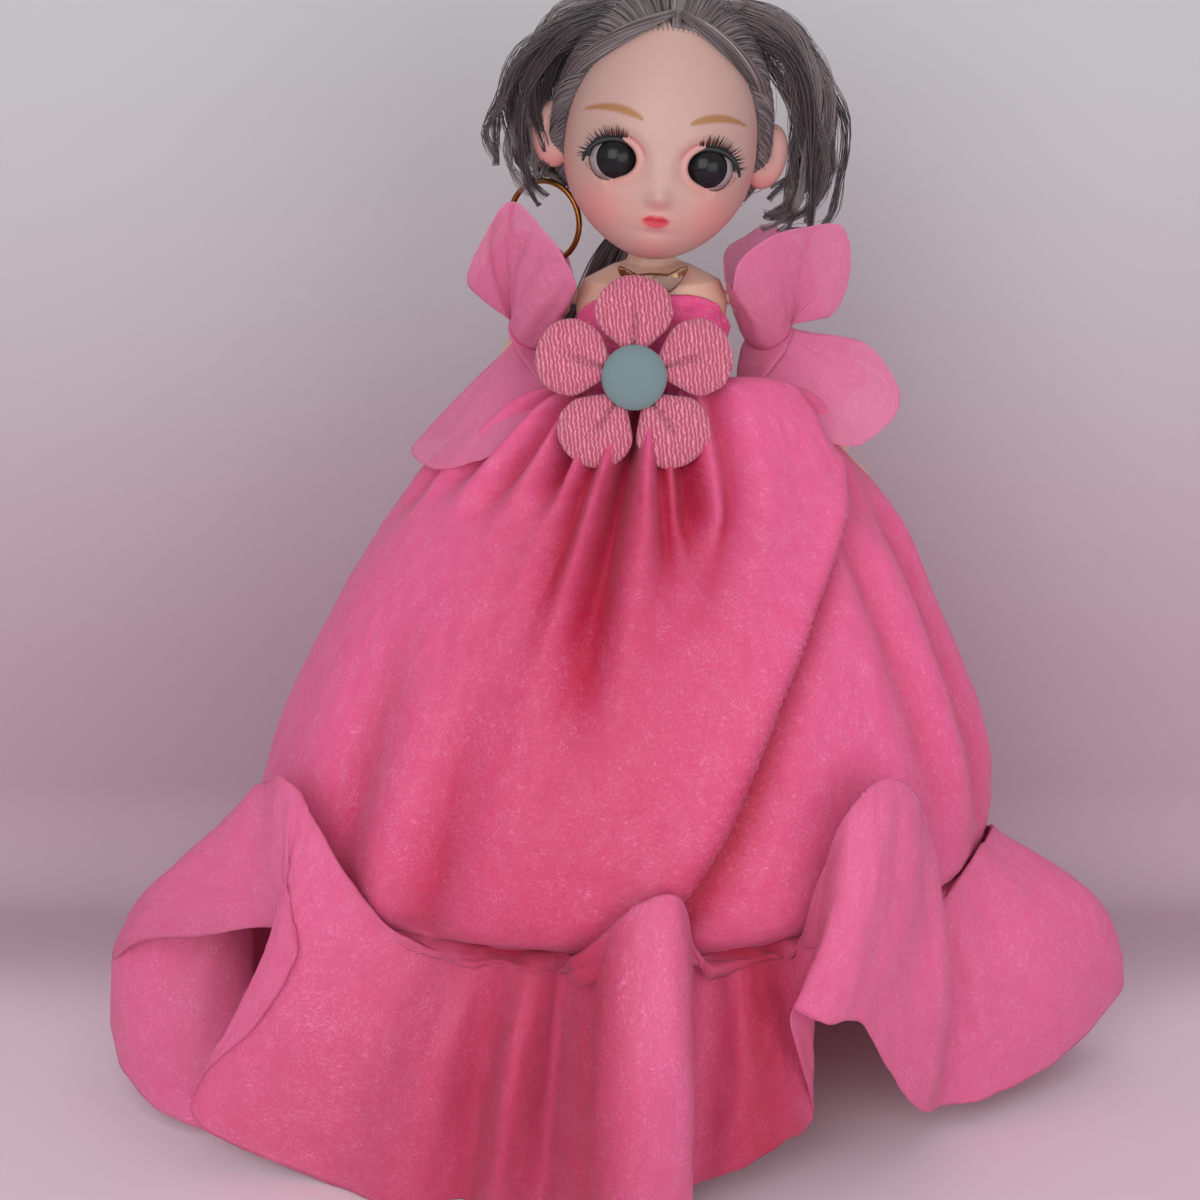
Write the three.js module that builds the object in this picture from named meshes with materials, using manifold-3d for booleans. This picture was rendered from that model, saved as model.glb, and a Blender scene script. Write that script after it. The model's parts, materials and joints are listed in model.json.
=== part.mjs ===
// A posable fashion doll in a ball gown: a jointed plastic body, a vinyl head with rooted hair,
// and a crinkled gown with ruffled sleeves, a padded flower, a puffed skirt and a flounce.
// Millimetres, +Z up. The doll faces -Y, and its own left side is at +X.
import * as THREE from 'three';
import { mergeVertices } from 'three/addons/utils/BufferGeometryUtils.js';
import Module from 'manifold-3d';

const wasm = await Module();
wasm.setup();

// Driving dimensions of the body, from the floor up
const ankleHeight = 18;
const shinLength = 68;
const thighLength = 74;
const torsoRise = 72;
const neckRise = 11;
const neckPostLength = 10;
const clearance = 0.3;
const overrun = 60;

const kneeHeight = ankleHeight + shinLength;
const hipHeight = kneeHeight + thighLength;
const shoulderHeight = hipHeight + torsoRise;
const neckHeight = shoulderHeight + neckRise;
const headHeight = neckHeight + neckPostLength;

// The pose in which the doll stands, in degrees
const pose = { headTilt: 6, armBack: 42, armOut: 22, elbowTwist: 50, elbowBend: 5 };

const torso = { halfWidth: 23.5, depthShare: 0.66, wall: 2, webHalfWidth: 3.4, webHalfDepth: 9, webRise: 8 };
// Each row: radius as a share of the half width, height as a share of the rise from hip to shoulder
const torsoShares = [
  [0.42, -0.139], [0.85, -0.056], [1, 0.111], [0.81, 0.306], [0.65, 0.528], [0.72, 0.694],
  [0.85, 0.861], [0.885, 1], [0.79, 1.069], [0.46, 1.125], [0.26, 1.146],
];
const neck = { radius: 6.8, topRadius: 5.8, stubRise: 4, ball: 4.2, post: 2.2, topBall: 3.4, rootDrop: 6 };
const plug = { radius: 8.6, bottom: 4.5, flangeRadius: 10.2, flangeBottom: 0.2, flangeThickness: 2 };
plug.rim = 0.7;
plug.hollowDepth = 3.6;
plug.topShare = 0.8;

const shoulder = { offset: 27, ball: 4.5, cap: 6.2, peg: 2, flange: 4.4, flangeInner: 14.2 };
shoulder.flangeThickness = 1.6;
shoulder.raiseLowest = 10;
shoulder.raiseHighest = 98;
const arm = { upperLength: 40, topRadius: 4.8, lowRadius: 4.2, foreLength: 36, wristRadius: 3 };
const elbow = { radius: 4.5, halfWidth: 4.1, tongue: 3.2, pin: 1 };
const wrist = { peg: 1.3, depth: 5 };
const hand = { palmLength: 12, palmHalfWidth: 4.4, palmHalfThickness: 2, finger: 1.15, fingerLength: 11 };
hand.thumb = 1.2;
hand.thumbLength = 7;
hand.thumbAngle = 30;
// Where each finger starts across the palm, and how long it is
const fingerShares = [[-0.75, 0.79], [-0.25, 0.91], [0.25, 0.96], [0.75, 0.84]];
const handShares = { fingerRoot: 0.78, thumbOut: 1.05, thumbRoot: 0.62 };

const hip = { offset: 12.5, ball: 6.2, cap: 9.1, peg: 2.1, flange: 3.2, flangeInner: 0.6 };
hip.flangeThickness = 1.2;
hip.spreadHighest = 20;
hip.swingHighest = 26;
const leg = { topRadius: 8.5, midRadius: 8.6, kneeRadius: 6.1, calfRadius: 6.6, ankleRadius: 4.6 };
leg.calfShare = 0.32;
const knee = { radius: 6.3, halfWidth: 6, tongue: 4.6, pin: 1.3 };
const ankle = { ball: 4.1, wall: 1.5, neck: 2.6, rimDrop: 1.5 };
const foot = { halfLength: 14, halfWidth: 5.6, halfHeight: 5.2, forward: 5.5, centreRise: 6.6 };
const shoe = { wall: 1.3, sole: 1.4, top: 9.6 };

const head = { halfWidth: 26.5, halfDepth: 29, upperHeight: 39, lowerHeight: 27, wall: 3 };
head.centreBack = -2;
head.centreRise = 20;
const headShares = { cheek: 0.4, chin: 0.25, shear: 0.3 };
const ear = { out: 29, back: 4.5, rise: 19.5, halfWidth: 5.8, halfDepth: 3.2, halfHeight: 9 };
const eye = { out: 12.4, rise: 17.6, radius: 6.5, sunk: 6.2, yaw: 25, opening: 5.1 };
const lash = { rootRadius: 5.3, tipRadius: 8, rootOut: 6.4, tipOut: 8.2, thickness: 0.5, from: 15, to: 165 };
const nose = { radius: 2.2, rise: 9.4, out: 0.4 };

const hair = { cap: 3.6, frontBack: -19, frontRise: 49, napeBack: 13, napeRise: -4, hemRise: 1 };
const twist = { radius: 2.2, growth: 3.4 };
const lock = { radius: 6, growth: 8.5 };
const tail = { radius: 7.5, neck: 3.8, drop: 46, back: 38, side: 20, tieRise: 6 };
const tie = { tube: 0.9, tilt: 60 };
// Ways from the middle of the head, for a twist over the hairline and for a loose lock at the side
const twistShares = [
  [-0.5, 0.86], [0.35, -0.56, 0.75], [0.66, -0.45, 0.6], [0.85, -0.2, 0.4], [0.92, 0.15, 0.22],
];
const lockShares = [[0.72, 0.42, 0.66], [0.92, 0.52, 0.25], [0.95, 0.5, -0.12], [0.88, 0.5, -0.45]];
const lockRadiusShares = [0.5, 1, 1, 0.3];
// How far the tail has gone to the side and down at each of its points, and its radius there
const tailShares = [[0.25, 0.25], [0.6, 0.6], [1, 1]];
const tailRadiusShares = [1, 0.9, 0.3];
const tailTieShares = { back: 0.7, down: 0.8 };
const hoop = { radius: 11, tube: 0.85, out: 30, back: 8, yaw: -30, bead: 1.3 };

const cloth = { thickness: 1.2, gap: 0.5 };
const bodice = { fit: 0.3 };
const bodiceShares = [0.556, 0.694, 0.861, 1, 1.04];
bodice.topShare = bodiceShares[bodiceShares.length - 1];
const fastener = { halfWidth: 4.5, thickness: 1.2, margin: 3, gap: 0.54 };
const flower = { centreX: -3.5, front: 24.5, tilt: 12, petalRing: 17, petalHalf: 10.4, petalHalfWidth: 9.7 };
flower.petalHalfThickness = 3.2;
flower.drop = 16;
const petalNames = ['top', 'left', 'lower_left', 'lower_right', 'right'];
const button = { radius: 8.6, rimThickness: 1.2, dome: 2, back: 2.4, shank: 1.4 };
button.domeShare = 0.7;
button.crownShare = 0.75;
const pendant = { halfWidth: 9.5, height: 7.4, thickness: 2 };
// The right half of the charm's outline, from its chin to the dip between its ears
const pendantShares = [[0.5, 0], [0.75, 0.35], [1, 1], [0.42, 0.72]];

const gown = { waistShare: 0.55, skirtHalfWidth: 105, skirtHalfDepth: 79, skirtShift: 10, folds: 10 };
gown.foldShare = 0.025;
// Each row: height, half width and half depth as shares of the waist height and of the skirt's sizes
const skirtShares = [
  [1.012, 0.168, 0.16], [1.038, 0.26, 0.23], [1.02, 0.36, 0.28], [0.96, 0.475, 0.36], [0.9, 0.6, 0.47],
  [0.82, 0.72, 0.63], [0.7, 0.84, 0.79], [0.53, 0.965, 0.94], [0.385, 1, 1], [0.36, 0.945, 0.96],
];
const flounce = { halfWidth: 150, halfDepth: 102, sideLift: 20, foldShare: 0.06, folds: 12, gapShare: 0.003 };
flounce.bulgeShare = 0.85;
const sleeve = { tieAt: 16, elastic: 0.7, upperFlare: 19, overShoulder: 12, lowerFlare: 21, lowerLength: 20 };
sleeve.upperSpread = 105;
sleeve.lowerSpread = 125;
sleeve.upperTurn = 20;
sleeve.folds = 7;
// How much of the flare is left behind the arm, how it falls away to the back, and how deep its folds are
const sleeveShares = { back: 0.12, upperFall: 0.8, lowerFall: 0.6, fold: 0.08, bulge: 0.8 };

// How finely round and draped shapes are divided
const divisions = { head: 18, torso: 16, socket: 16, limb: 12, small: 6, arc: 5, skirt: 30, flounce: 12 };
divisions.ruffle = 8;
divisions.wedgeStep = 30;

const waistHeight = hipHeight + gown.waistShare * torsoRise;
const shoulderPoint = (side) => new THREE.Vector3(side * shoulder.offset, 0, shoulderHeight);
const hipPoint = (side) => new THREE.Vector3(side * hip.offset, 0, hipHeight);
const unit = (x, y, z) => new THREE.Vector3(x, y, z);
const radians = THREE.MathUtils.degToRad;
const sides = [['left', 1], ['right', -1]];

// Colours and finishes
const finish = (color, roughness, metalness = 0) =>
  new THREE.MeshStandardMaterial({ color, roughness, metalness });
const vinyl = finish(0xf3d9d2, 0.55);
const bodyPlastic = finish(0xf2c3ab, 0.4);
const jointPlastic = finish(0xe9b9a2, 0.45);
const hairFibre = finish(0x8a7c80, 0.5);
const organza = finish(0xf2559a, 0.6);
const seersucker = finish(0xf089b0, 0.8);
const buttonCloth = finish(0x86b8b6, 0.8);
const eyeAcrylic = finish(0x120d10, 0.08);
const lashFibre = finish(0x15101a, 0.7);
const charmEnamel = finish(0x6b3720, 0.25);
const brownMetal = finish(0x8a5a30, 0.3, 1);
const steel = finish(0xc9c9cc, 0.25, 1);
const elasticCloth = finish(0xe04488, 0.8);
const shoeVinyl = finish(0xf4eef0, 0.3);
const fastenerTape = finish(0xf7a8c8, 0.9);

// Solids, joins and cuts
function solidOf(geometry) {
  const bare = geometry.clone();
  bare.deleteAttribute('normal');
  bare.deleteAttribute('uv');
  const merged = mergeVertices(bare);
  const vertProperties = new Float32Array(merged.attributes.position.array);
  const triVerts = new Uint32Array(merged.index.array);
  return new wasm.Manifold(new wasm.Mesh({ numProp: 3, vertProperties, triVerts }));
}

function geometryOf(solid) {
  const mesh = solid.getMesh();
  const geometry = new THREE.BufferGeometry();
  geometry.setAttribute('position', new THREE.BufferAttribute(new Float32Array(mesh.vertProperties), 3));
  geometry.setIndex(new THREE.BufferAttribute(new Uint32Array(mesh.triVerts), 1));
  geometry.computeVertexNormals();
  return geometry;
}

const joined = (...geometries) => geometries.map(solidOf).reduce((sum, next) => sum.add(next));
const cut = (solid, ...geometries) =>
  geometries.map(solidOf).reduce((rest, tool) => rest.subtract(tool), solid);

function addPiece(parent, name, shape, material) {
  const geometry = shape.isBufferGeometry ? shape : geometryOf(shape);
  const mesh = new THREE.Mesh(geometry, material);
  mesh.name = name;
  parent.add(mesh);
}

function addGroup(parent, x, y, z) {
  const group = new THREE.Group();
  group.position.set(x, y, z);
  parent.add(group);
  return group;
}

// A shape of revolution about Z: the profile lists radius and height from low to high
function turned(profile, count = divisions.limb) {
  const points = profile.map(([r, h]) => new THREE.Vector2(r, h));
  return new THREE.LatheGeometry(points, count).rotateX(Math.PI / 2);
}

// The same about X, pointing to the given side
function turnedAlongX(profile, side, count = divisions.limb) {
  return turned(profile, count).rotateY(side * Math.PI / 2);
}

const ring = (outer, inner) => [...outer, ...inner.slice().reverse(), outer[0]];

// The outline of a ball, from its lowest point or from where it meets a neck of the given radius
function ballProfile(radius, centre, neckBelow = 0, neckAbove = 0, steps = divisions.arc) {
  const low = Math.asin(neckBelow / radius);
  const high = Math.PI - Math.asin(neckAbove / radius);
  return Array.from({ length: steps + 1 }, (_, step) => {
    const angle = low + (high - low) * step / steps;
    const onAxis = (step === 0 && neckBelow === 0) || (step === steps && neckAbove === 0);
    return [onAxis ? 0 : radius * Math.sin(angle), centre - radius * Math.cos(angle)];
  });
}

const ball = (radius, count = divisions.limb) =>
  new THREE.SphereGeometry(radius, count, count / 2).rotateX(Math.PI / 2);

function rod(radius, from, to, count = divisions.limb) {
  const geometry = new THREE.CylinderGeometry(radius, radius, to - from, count);
  return geometry.rotateZ(Math.PI / 2).translate((from + to) / 2, 0, 0);
}

function box(low, high) {
  const size = high.map((value, axis) => value - low[axis]);
  const middle = high.map((value, axis) => (value + low[axis]) / 2);
  return new THREE.BoxGeometry(...size).translate(...middle);
}

// A wedge about Y that starts at the inner side and turns up over the top, between two angles
function wedge(side, lowest, highest, reach, thickness) {
  const shape = new THREE.Shape();
  shape.moveTo(0, 0);
  const steps = Math.ceil((highest - lowest) / divisions.wedgeStep);
  for (let step = 0; step <= steps; step += 1) {
    const angle = radians(lowest + (highest - lowest) * step / steps);
    shape.lineTo(-side * reach * Math.cos(angle), reach * Math.sin(angle));
  }
  shape.closePath();
  const geometry = new THREE.ExtrudeGeometry(shape, { depth: thickness, bevelEnabled: false });
  return geometry.rotateX(Math.PI / 2).translate(0, thickness / 2, 0);
}

// A prism along X whose outline lists places in Y and Z
function prismAlongX(outline, from, to) {
  const shape = new THREE.Shape(outline.map(([y, z]) => new THREE.Vector2(y, z)));
  const geometry = new THREE.ExtrudeGeometry(shape, { depth: to - from, bevelEnabled: false });
  const axes = new THREE.Matrix4().makeBasis(unit(0, 1, 0), unit(0, 0, 1), unit(1, 0, 0));
  return geometry.applyMatrix4(axes).translate(from, 0, 0);
}

function indexed(positions, triangles) {
  const geometry = new THREE.BufferGeometry();
  geometry.setAttribute('position', new THREE.Float32BufferAttribute(positions, 3));
  geometry.setIndex(triangles);
  geometry.computeVertexNormals();
  return geometry;
}

// A sheet with thickness: pointAt(u, v, face) gives the outer face at 0 and the inner face at 1.
// u runs anticlockwise seen from above, v runs down, and a closed sheet goes all the way round.
function clothShell(columns, rows, pointAt, closed) {
  const width = closed ? columns : columns + 1;
  const positions = [];
  const triangles = [];
  const at = (face, i, j) => (face * (rows + 1) + j) * width + (i % width);
  const quad = (a, b, c, d) => triangles.push(a, b, c, a, c, d);
  for (let face = 0; face < 2; face += 1) {
    for (let j = 0; j <= rows; j += 1) {
      for (let i = 0; i < width; i += 1) positions.push(...pointAt(i / columns, j / rows, face));
    }
  }
  for (let i = 0; i < columns; i += 1) {
    for (let j = 0; j < rows; j += 1) {
      quad(at(0, i, j), at(0, i, j + 1), at(0, i + 1, j + 1), at(0, i + 1, j));
      quad(at(1, i, j), at(1, i + 1, j), at(1, i + 1, j + 1), at(1, i, j + 1));
    }
    quad(at(0, i, 0), at(0, i + 1, 0), at(1, i + 1, 0), at(1, i, 0));
    quad(at(0, i, rows), at(1, i, rows), at(1, i + 1, rows), at(0, i + 1, rows));
  }
  for (let j = 0; j < rows && !closed; j += 1) {
    quad(at(0, 0, j), at(1, 0, j), at(1, 0, j + 1), at(0, 0, j + 1));
    quad(at(0, columns, j), at(0, columns, j + 1), at(1, columns, j + 1), at(1, columns, j));
  }
  return indexed(positions, triangles);
}

// A round strand along a smooth curve, with a radius for each of its points
function strand(points, radii, count = divisions.small) {
  const curve = new THREE.CatmullRomCurve3(points);
  const steps = 3 * (points.length - 1);
  const frames = curve.computeFrenetFrames(steps);
  const positions = [];
  const triangles = [];
  for (let j = 0; j <= steps; j += 1) {
    const centre = curve.getPointAt(j / steps);
    const place = j / steps * (radii.length - 1);
    const below = Math.min(Math.floor(place), radii.length - 2);
    const radius = THREE.MathUtils.lerp(radii[below], radii[below + 1], place - below);
    for (let i = 0; i < count; i += 1) {
      const angle = 2 * Math.PI * i / count;
      const spot = centre.clone().addScaledVector(frames.normals[j], radius * Math.cos(angle));
      positions.push(...spot.addScaledVector(frames.binormals[j], radius * Math.sin(angle)));
    }
  }
  positions.push(...curve.getPointAt(0), ...curve.getPointAt(1));
  const start = (steps + 1) * count;
  for (let i = 0; i < count; i += 1) {
    const next = (i + 1) % count;
    for (let j = 0; j < steps; j += 1) {
      const corners = [j * count + i, j * count + next, (j + 1) * count + next, (j + 1) * count + i];
      triangles.push(corners[0], corners[1], corners[2], corners[0], corners[2], corners[3]);
    }
    triangles.push(start, next, i, start + 1, steps * count + i, steps * count + next);
  }
  return indexed(positions, triangles);
}

const doll = new THREE.Group();

// Torso: two moulded half shells with a web between the hips and a stub for the neck
function torsoRadius(heightShare) {
  const above = torsoShares.findIndex(([, height]) => height >= heightShare);
  const [lowWidth, lowHeight] = torsoShares[above - 1];
  const [highWidth, highHeight] = torsoShares[above];
  const share = (heightShare - lowHeight) / (highHeight - lowHeight);
  return torso.halfWidth * THREE.MathUtils.lerp(lowWidth, highWidth, share);
}

function torsoForm(inset) {
  const bottom = hipHeight + torsoShares[0][1] * torsoRise + inset;
  const top = hipHeight + torsoShares[torsoShares.length - 1][1] * torsoRise - inset;
  const rows = torsoShares.map(([width, height]) => {
    const level = THREE.MathUtils.clamp(hipHeight + height * torsoRise, bottom, top);
    return [width * torso.halfWidth - inset, level];
  });
  return turned([[0, rows[0][1]], ...rows, [0, rows[rows.length - 1][1]]], divisions.torso);
}

function buildTorso() {
  const flat = torso.depthShare;
  const hollow = torsoForm(torso.wall).scale(1, flat, 1);
  const web = box(
    [-torso.webHalfWidth, -torso.webHalfDepth, hipHeight - torso.webRise],
    [torso.webHalfWidth, torso.webHalfDepth, hipHeight + torso.webRise],
  );
  const stubTop = neckHeight + neck.stubRise;
  const stub = turned([
    [0, neckHeight - neck.rootDrop], [neck.radius, neckHeight - neck.rootDrop], [neck.radius, neckHeight],
    [neck.topRadius, stubTop], [0, stubTop],
  ]);
  const cupRadius = neck.ball + clearance;
  const cupMouth = turned([
    [0, 0], [neck.post + clearance, 0], [cupRadius, neck.stubRise], [0, neck.stubRise + clearance],
  ]);
  let shell = cut(solidOf(torsoForm(0).scale(1, flat, 1)), hollow);
  shell = shell.add(solidOf(web)).add(solidOf(stub));
  shell = cut(shell, ball(cupRadius).translate(0, 0, neckHeight), cupMouth.translate(0, 0, neckHeight));
  for (const [, side] of sides) {
    const from = Math.min(side * shoulder.flangeInner, side * shoulder.offset);
    const to = Math.max(side * shoulder.flangeInner, side * shoulder.offset);
    const capRoom = hip.cap + 2 * clearance;
    const socket = ball(capRoom, divisions.socket).translate(...hipPoint(side));
    const sweep = capRoom + overrun * Math.tan(radians(hip.swingHighest));
    const legOutline = [[-capRoom, 0], [-sweep, -overrun], [sweep, -overrun], [capRoom, 0]];
    const inner = side * hip.offset - capRoom;
    const outer = side * hip.offset + capRoom;
    const legRoom = prismAlongX(legOutline, side > 0 ? inner : -overrun, side > 0 ? overrun : outer);
    shell = cut(shell, legRoom.translate(0, 0, hipHeight));
    const pegHole = rod(hip.peg + clearance, 0, hip.offset).scale(side, 1, 1);
    const flangeOuter = hip.flangeInner + hip.flangeThickness;
    const flangeRoom = rod(hip.flange + clearance, clearance, flangeOuter + clearance);
    shell = cut(shell, rod(shoulder.peg + clearance, from, to).translate(0, 0, shoulderHeight), socket);
    for (const room of [pegHole, flangeRoom.scale(side, 1, 1)]) {
      const turnedRight = side > 0 ? room : flipped(room);
      shell = cut(shell, turnedRight.translate(0, 0, hipHeight));
    }
  }
  const seam = clearance / 2;
  const front = box([-overrun, -overrun, 0], [overrun, -seam, headHeight]);
  const back = box([-overrun, seam, 0], [overrun, overrun, headHeight]);
  addPiece(doll, 'torso_front_shell', shell.intersect(solidOf(front)), bodyPlastic);
  addPiece(doll, 'torso_back_shell', shell.intersect(solidOf(back)), bodyPlastic);
}

// A mirrored shape has its faces turned inside out, and this turns them back
function flipped(geometry) {
  const index = geometry.index.array;
  for (let start = 0; start < index.length; start += 3) {
    const kept = index[start];
    index[start] = index[start + 1];
    index[start + 1] = kept;
  }
  return geometry;
}

// Head: a vinyl shell over the plug that closes its neck opening
function headForm(growth, count = divisions.head) {
  const geometry = new THREE.SphereGeometry(1, count, Math.round(count * 0.7)).rotateX(Math.PI / 2);
  const spots = geometry.attributes.position;
  for (let spot = 0; spot < spots.count; spot += 1) {
    const way = new THREE.Vector3().fromBufferAttribute(spots, spot);
    spots.setXYZ(spot, ...headPoint(way, growth));
  }
  return geometry;
}

function headPoint(way, growth) {
  const low = Math.max(0, -way.z) ** 2;
  const front = way.y < 0 ? 1 + headShares.chin * low : 1;
  const x = way.x * (head.halfWidth + growth) * (1 + headShares.cheek * low * (1 - Math.sqrt(low)));
  const y = way.y * (head.halfDepth + growth) * front;
  const halfHeight = way.z < 0 ? head.lowerHeight : head.upperHeight;
  const z = head.centreRise + way.z * (halfHeight + growth) + headShares.shear * y * low;
  return new THREE.Vector3(x, head.centreBack + y, z);
}

function faceBack(x, z) {
  const across = x / head.halfWidth;
  const up = (z - head.centreRise) / (z < head.centreRise ? head.lowerHeight : head.upperHeight);
  return head.centreBack - head.halfDepth * Math.sqrt(1 - across ** 2 - up ** 2);
}

const earForm = (side, growth) => ball(1, divisions.limb)
  .scale(ear.halfWidth + growth, ear.halfDepth + growth, ear.halfHeight + growth)
  .translate(side * ear.out, ear.back, ear.rise);

function eyeGroup(parent, side) {
  const group = addGroup(parent, side * eye.out, faceBack(eye.out, eye.rise) + eye.sunk, eye.rise);
  group.rotation.z = side * radians(eye.yaw);
  return group;
}

function buildHeadShell(parent) {
  const neckHole = turned([
    [0, -overrun], [plug.radius + clearance, -overrun],
    [plug.radius + clearance, plug.flangeBottom - clearance],
    [plug.flangeRadius + clearance, plug.flangeBottom - clearance],
    [plug.flangeRadius + clearance, plug.flangeBottom + plug.flangeThickness + clearance],
    [0, plug.flangeBottom + plug.flangeThickness + clearance],
  ], divisions.torso);
  const noseTip = ball(nose.radius).translate(0, faceBack(0, nose.rise) - nose.out, nose.rise);
  let shell = joined(headForm(0), earForm(1, 0), earForm(-1, 0), noseTip);
  shell = cut(shell, headForm(-head.wall, divisions.limb), neckHole);
  for (const [, side] of sides) {
    const centre = [side * eye.out, faceBack(eye.out, eye.rise) + eye.sunk, eye.rise];
    const rim = [[0, 0], [eye.opening, 0], [eye.opening, overrun], [0, overrun]];
    const opening = turned(rim, divisions.socket);
    opening.rotateX(Math.PI / 2).rotateZ(side * radians(eye.yaw)).translate(...centre);
    shell = cut(shell, ball(eye.radius + clearance, divisions.socket).translate(...centre), opening);
  }
  addPiece(parent, 'head_shell', shell, vinyl);
}

function buildEyes(parent) {
  for (const [name, side] of sides) {
    const group = eyeGroup(parent, side);
    const strip = (u, v, face) => {
      const angle = radians(lash.from + (lash.to - lash.from) * u);
      const radius = THREE.MathUtils.lerp(lash.rootRadius, lash.tipRadius, v);
      const out = THREE.MathUtils.lerp(lash.rootOut, lash.tipOut, v) + lash.thickness * (1 - face);
      return [radius * Math.cos(angle), -out, radius * Math.sin(angle)];
    };
    addPiece(group, `${name}_eye`, ball(eye.radius, divisions.socket), eyeAcrylic);
    addPiece(group, `${name}_eyelash`, clothShell(divisions.small, 1, strip, false), lashFibre);
  }
}

function buildNeckPlug(parent) {
  const flangeTop = plug.flangeBottom + plug.flangeThickness;
  const body = turned([
    [0, -plug.bottom], [plug.radius, -plug.bottom], [plug.radius, plug.flangeBottom],
    [plug.flangeRadius, plug.flangeBottom], [plug.flangeRadius, flangeTop],
    [plug.radius * plug.topShare, flangeTop],
    [neck.topBall, flangeTop + neck.topBall], [0, flangeTop + neck.topBall],
  ], divisions.torso);
  const socketRadius = neck.topBall + clearance;
  const hollow = turned([
    [0, -plug.bottom - clearance], [plug.radius - plug.rim, -plug.bottom - clearance],
    [socketRadius, plug.hollowDepth - plug.bottom], [0, plug.hollowDepth - plug.bottom],
  ]);
  addPiece(parent, 'neck_plug', cut(solidOf(body), ball(socketRadius), hollow), jointPlastic);
}

function buildNeckPost(parent) {
  const below = ballProfile(neck.ball, 0, 0, neck.post);
  const above = ballProfile(neck.topBall, neckPostLength, neck.post, 0);
  addPiece(parent, 'neck_post', turned([...below, ...above]), jointPlastic);
}

// Hair: the rooted mass combed back, two twisted strands over the hairline, loose locks and a tail
const hairWay = (x, y, z, growth) => headPoint(new THREE.Vector3(x, y, z).normalize(), growth);

function buildHair(parent) {
  const lean = Math.atan2(hair.napeBack - hair.frontBack, hair.frontRise - hair.napeRise);
  const faceSide = box([-overrun, -overrun, -overrun], [overrun, 0, overrun]).rotateX(lean);
  faceSide.translate(0, hair.frontBack, hair.frontRise);
  const face = headForm(clearance);
  const ears = sides.map(([, side]) => earForm(side, clearance));
  const underside = box([-overrun, -overrun, -overrun], [overrun, overrun, hair.hemRise]);
  const cap = cut(solidOf(headForm(hair.cap)), face, faceSide, underside, ...ears);
  const inFront = solidOf(faceSide.translate(0, -clearance, 0));
  const overCap = solidOf(headForm(hair.cap + clearance)).subtract(inFront);
  addPiece(parent, 'hair_cap', cap, hairFibre);
  for (const [name, side] of sides) {
    const [top, ...along] = twistShares;
    const parting = (twist.radius + clearance) / head.halfWidth;
    const points = [[parting, ...top], ...along].map(([x, y, z]) => hairWay(side * x, y, z, twist.growth));
    const thick = points.map(() => twist.radius);
    const twisted = cut(solidOf(strand(points, thick)), face, earForm(side, clearance)).subtract(overCap);
    addPiece(parent, `${name}_hair_twist`, largest(twisted), hairFibre);
    const loose = lockShares.map(([x, y, z]) => hairWay(side * x, y, z, lock.growth));
    const taper = lockRadiusShares.map((share) => share * lock.radius);
    const lockSolid = cut(solidOf(strand(loose, taper)), earForm(side, clearance)).subtract(overCap);
    addPiece(parent, `${name}_hair_lock`, largest(lockSolid), hairFibre);
  }
  const nape = headPoint(new THREE.Vector3(0, 1, 0), hair.cap).y;
  const path = [
    unit(0, nape - tail.neck * 2, tail.tieRise), unit(0, nape + tail.neck, tail.tieRise - tail.neck),
    ...tailShares.map(([out, down]) => unit(-tail.side * out, tail.back, -tail.drop * down)),
  ];
  const tailRadii = [tail.neck, tail.neck, ...tailRadiusShares.map((share) => share * tail.radius)];
  const tailSolid = solidOf(strand(path, tailRadii)).subtract(overCap);
  addPiece(parent, 'ponytail', largest(tailSolid), hairFibre);
  const tieRadius = tail.neck + clearance + tie.tube;
  const band = new THREE.TorusGeometry(tieRadius, tie.tube, divisions.arc, divisions.limb);
  band.rotateX(radians(tie.tilt));
  band.translate(0, nape + tail.neck * tailTieShares.back, tail.tieRise - tail.neck * tailTieShares.down);
  const around = strand(path, tailRadii.map((radius) => radius + clearance));
  addPiece(parent, 'hair_tie', cut(solidOf(band), around).subtract(overCap), elasticCloth);
}

// A cut can leave crumbs behind, and the piece itself is the largest of what is left
function largest(solid) {
  return solid.decompose().reduce((best, next) => (next.volume() > best.volume() ? next : best));
}

// Earring: a bead under the lobe and a thin hoop that hangs from it
function buildEarring(parent) {
  const lobe = ear.rise - ear.halfHeight;
  const beadRise = lobe - hoop.bead - clearance;
  const bead = ball(hoop.bead, divisions.small).translate(-hoop.out, hoop.back, beadRise);
  addPiece(parent, 'earring_bead', bead, steel);
  const hang = addGroup(parent, -hoop.out, hoop.back, beadRise - hoop.bead - clearance - hoop.tube);
  hang.rotation.order = 'YXZ';
  hang.rotation.y = -radians(pose.headTilt);
  const circle = new THREE.TorusGeometry(hoop.radius, hoop.tube, divisions.arc, divisions.head);
  circle.rotateX(Math.PI / 2).translate(0, 0, -hoop.radius).rotateZ(radians(hoop.yaw));
  addPiece(hang, 'earring_hoop', circle, brownMetal);
}

// A hinge between two lengths of a limb: ears on the upper one, a tongue on the lower one, and a pin
function forked(solid, hinge, level, turn = 0) {
  const place = (geometry) => geometry.rotateZ(turn).translate(0, 0, level);
  const half = hinge.tongue / 2 + clearance;
  const reach = hinge.radius + clearance;
  const round = solid.add(solidOf(place(rod(hinge.radius, -hinge.halfWidth, hinge.halfWidth))));
  const slot = place(box([-half, -reach, -reach], [half, reach, 0]));
  const hole = place(rod(hinge.pin + clearance, -overrun, overrun, divisions.small));
  return cut(round, place(rod(reach, -half, half)), slot, hole);
}

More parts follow.
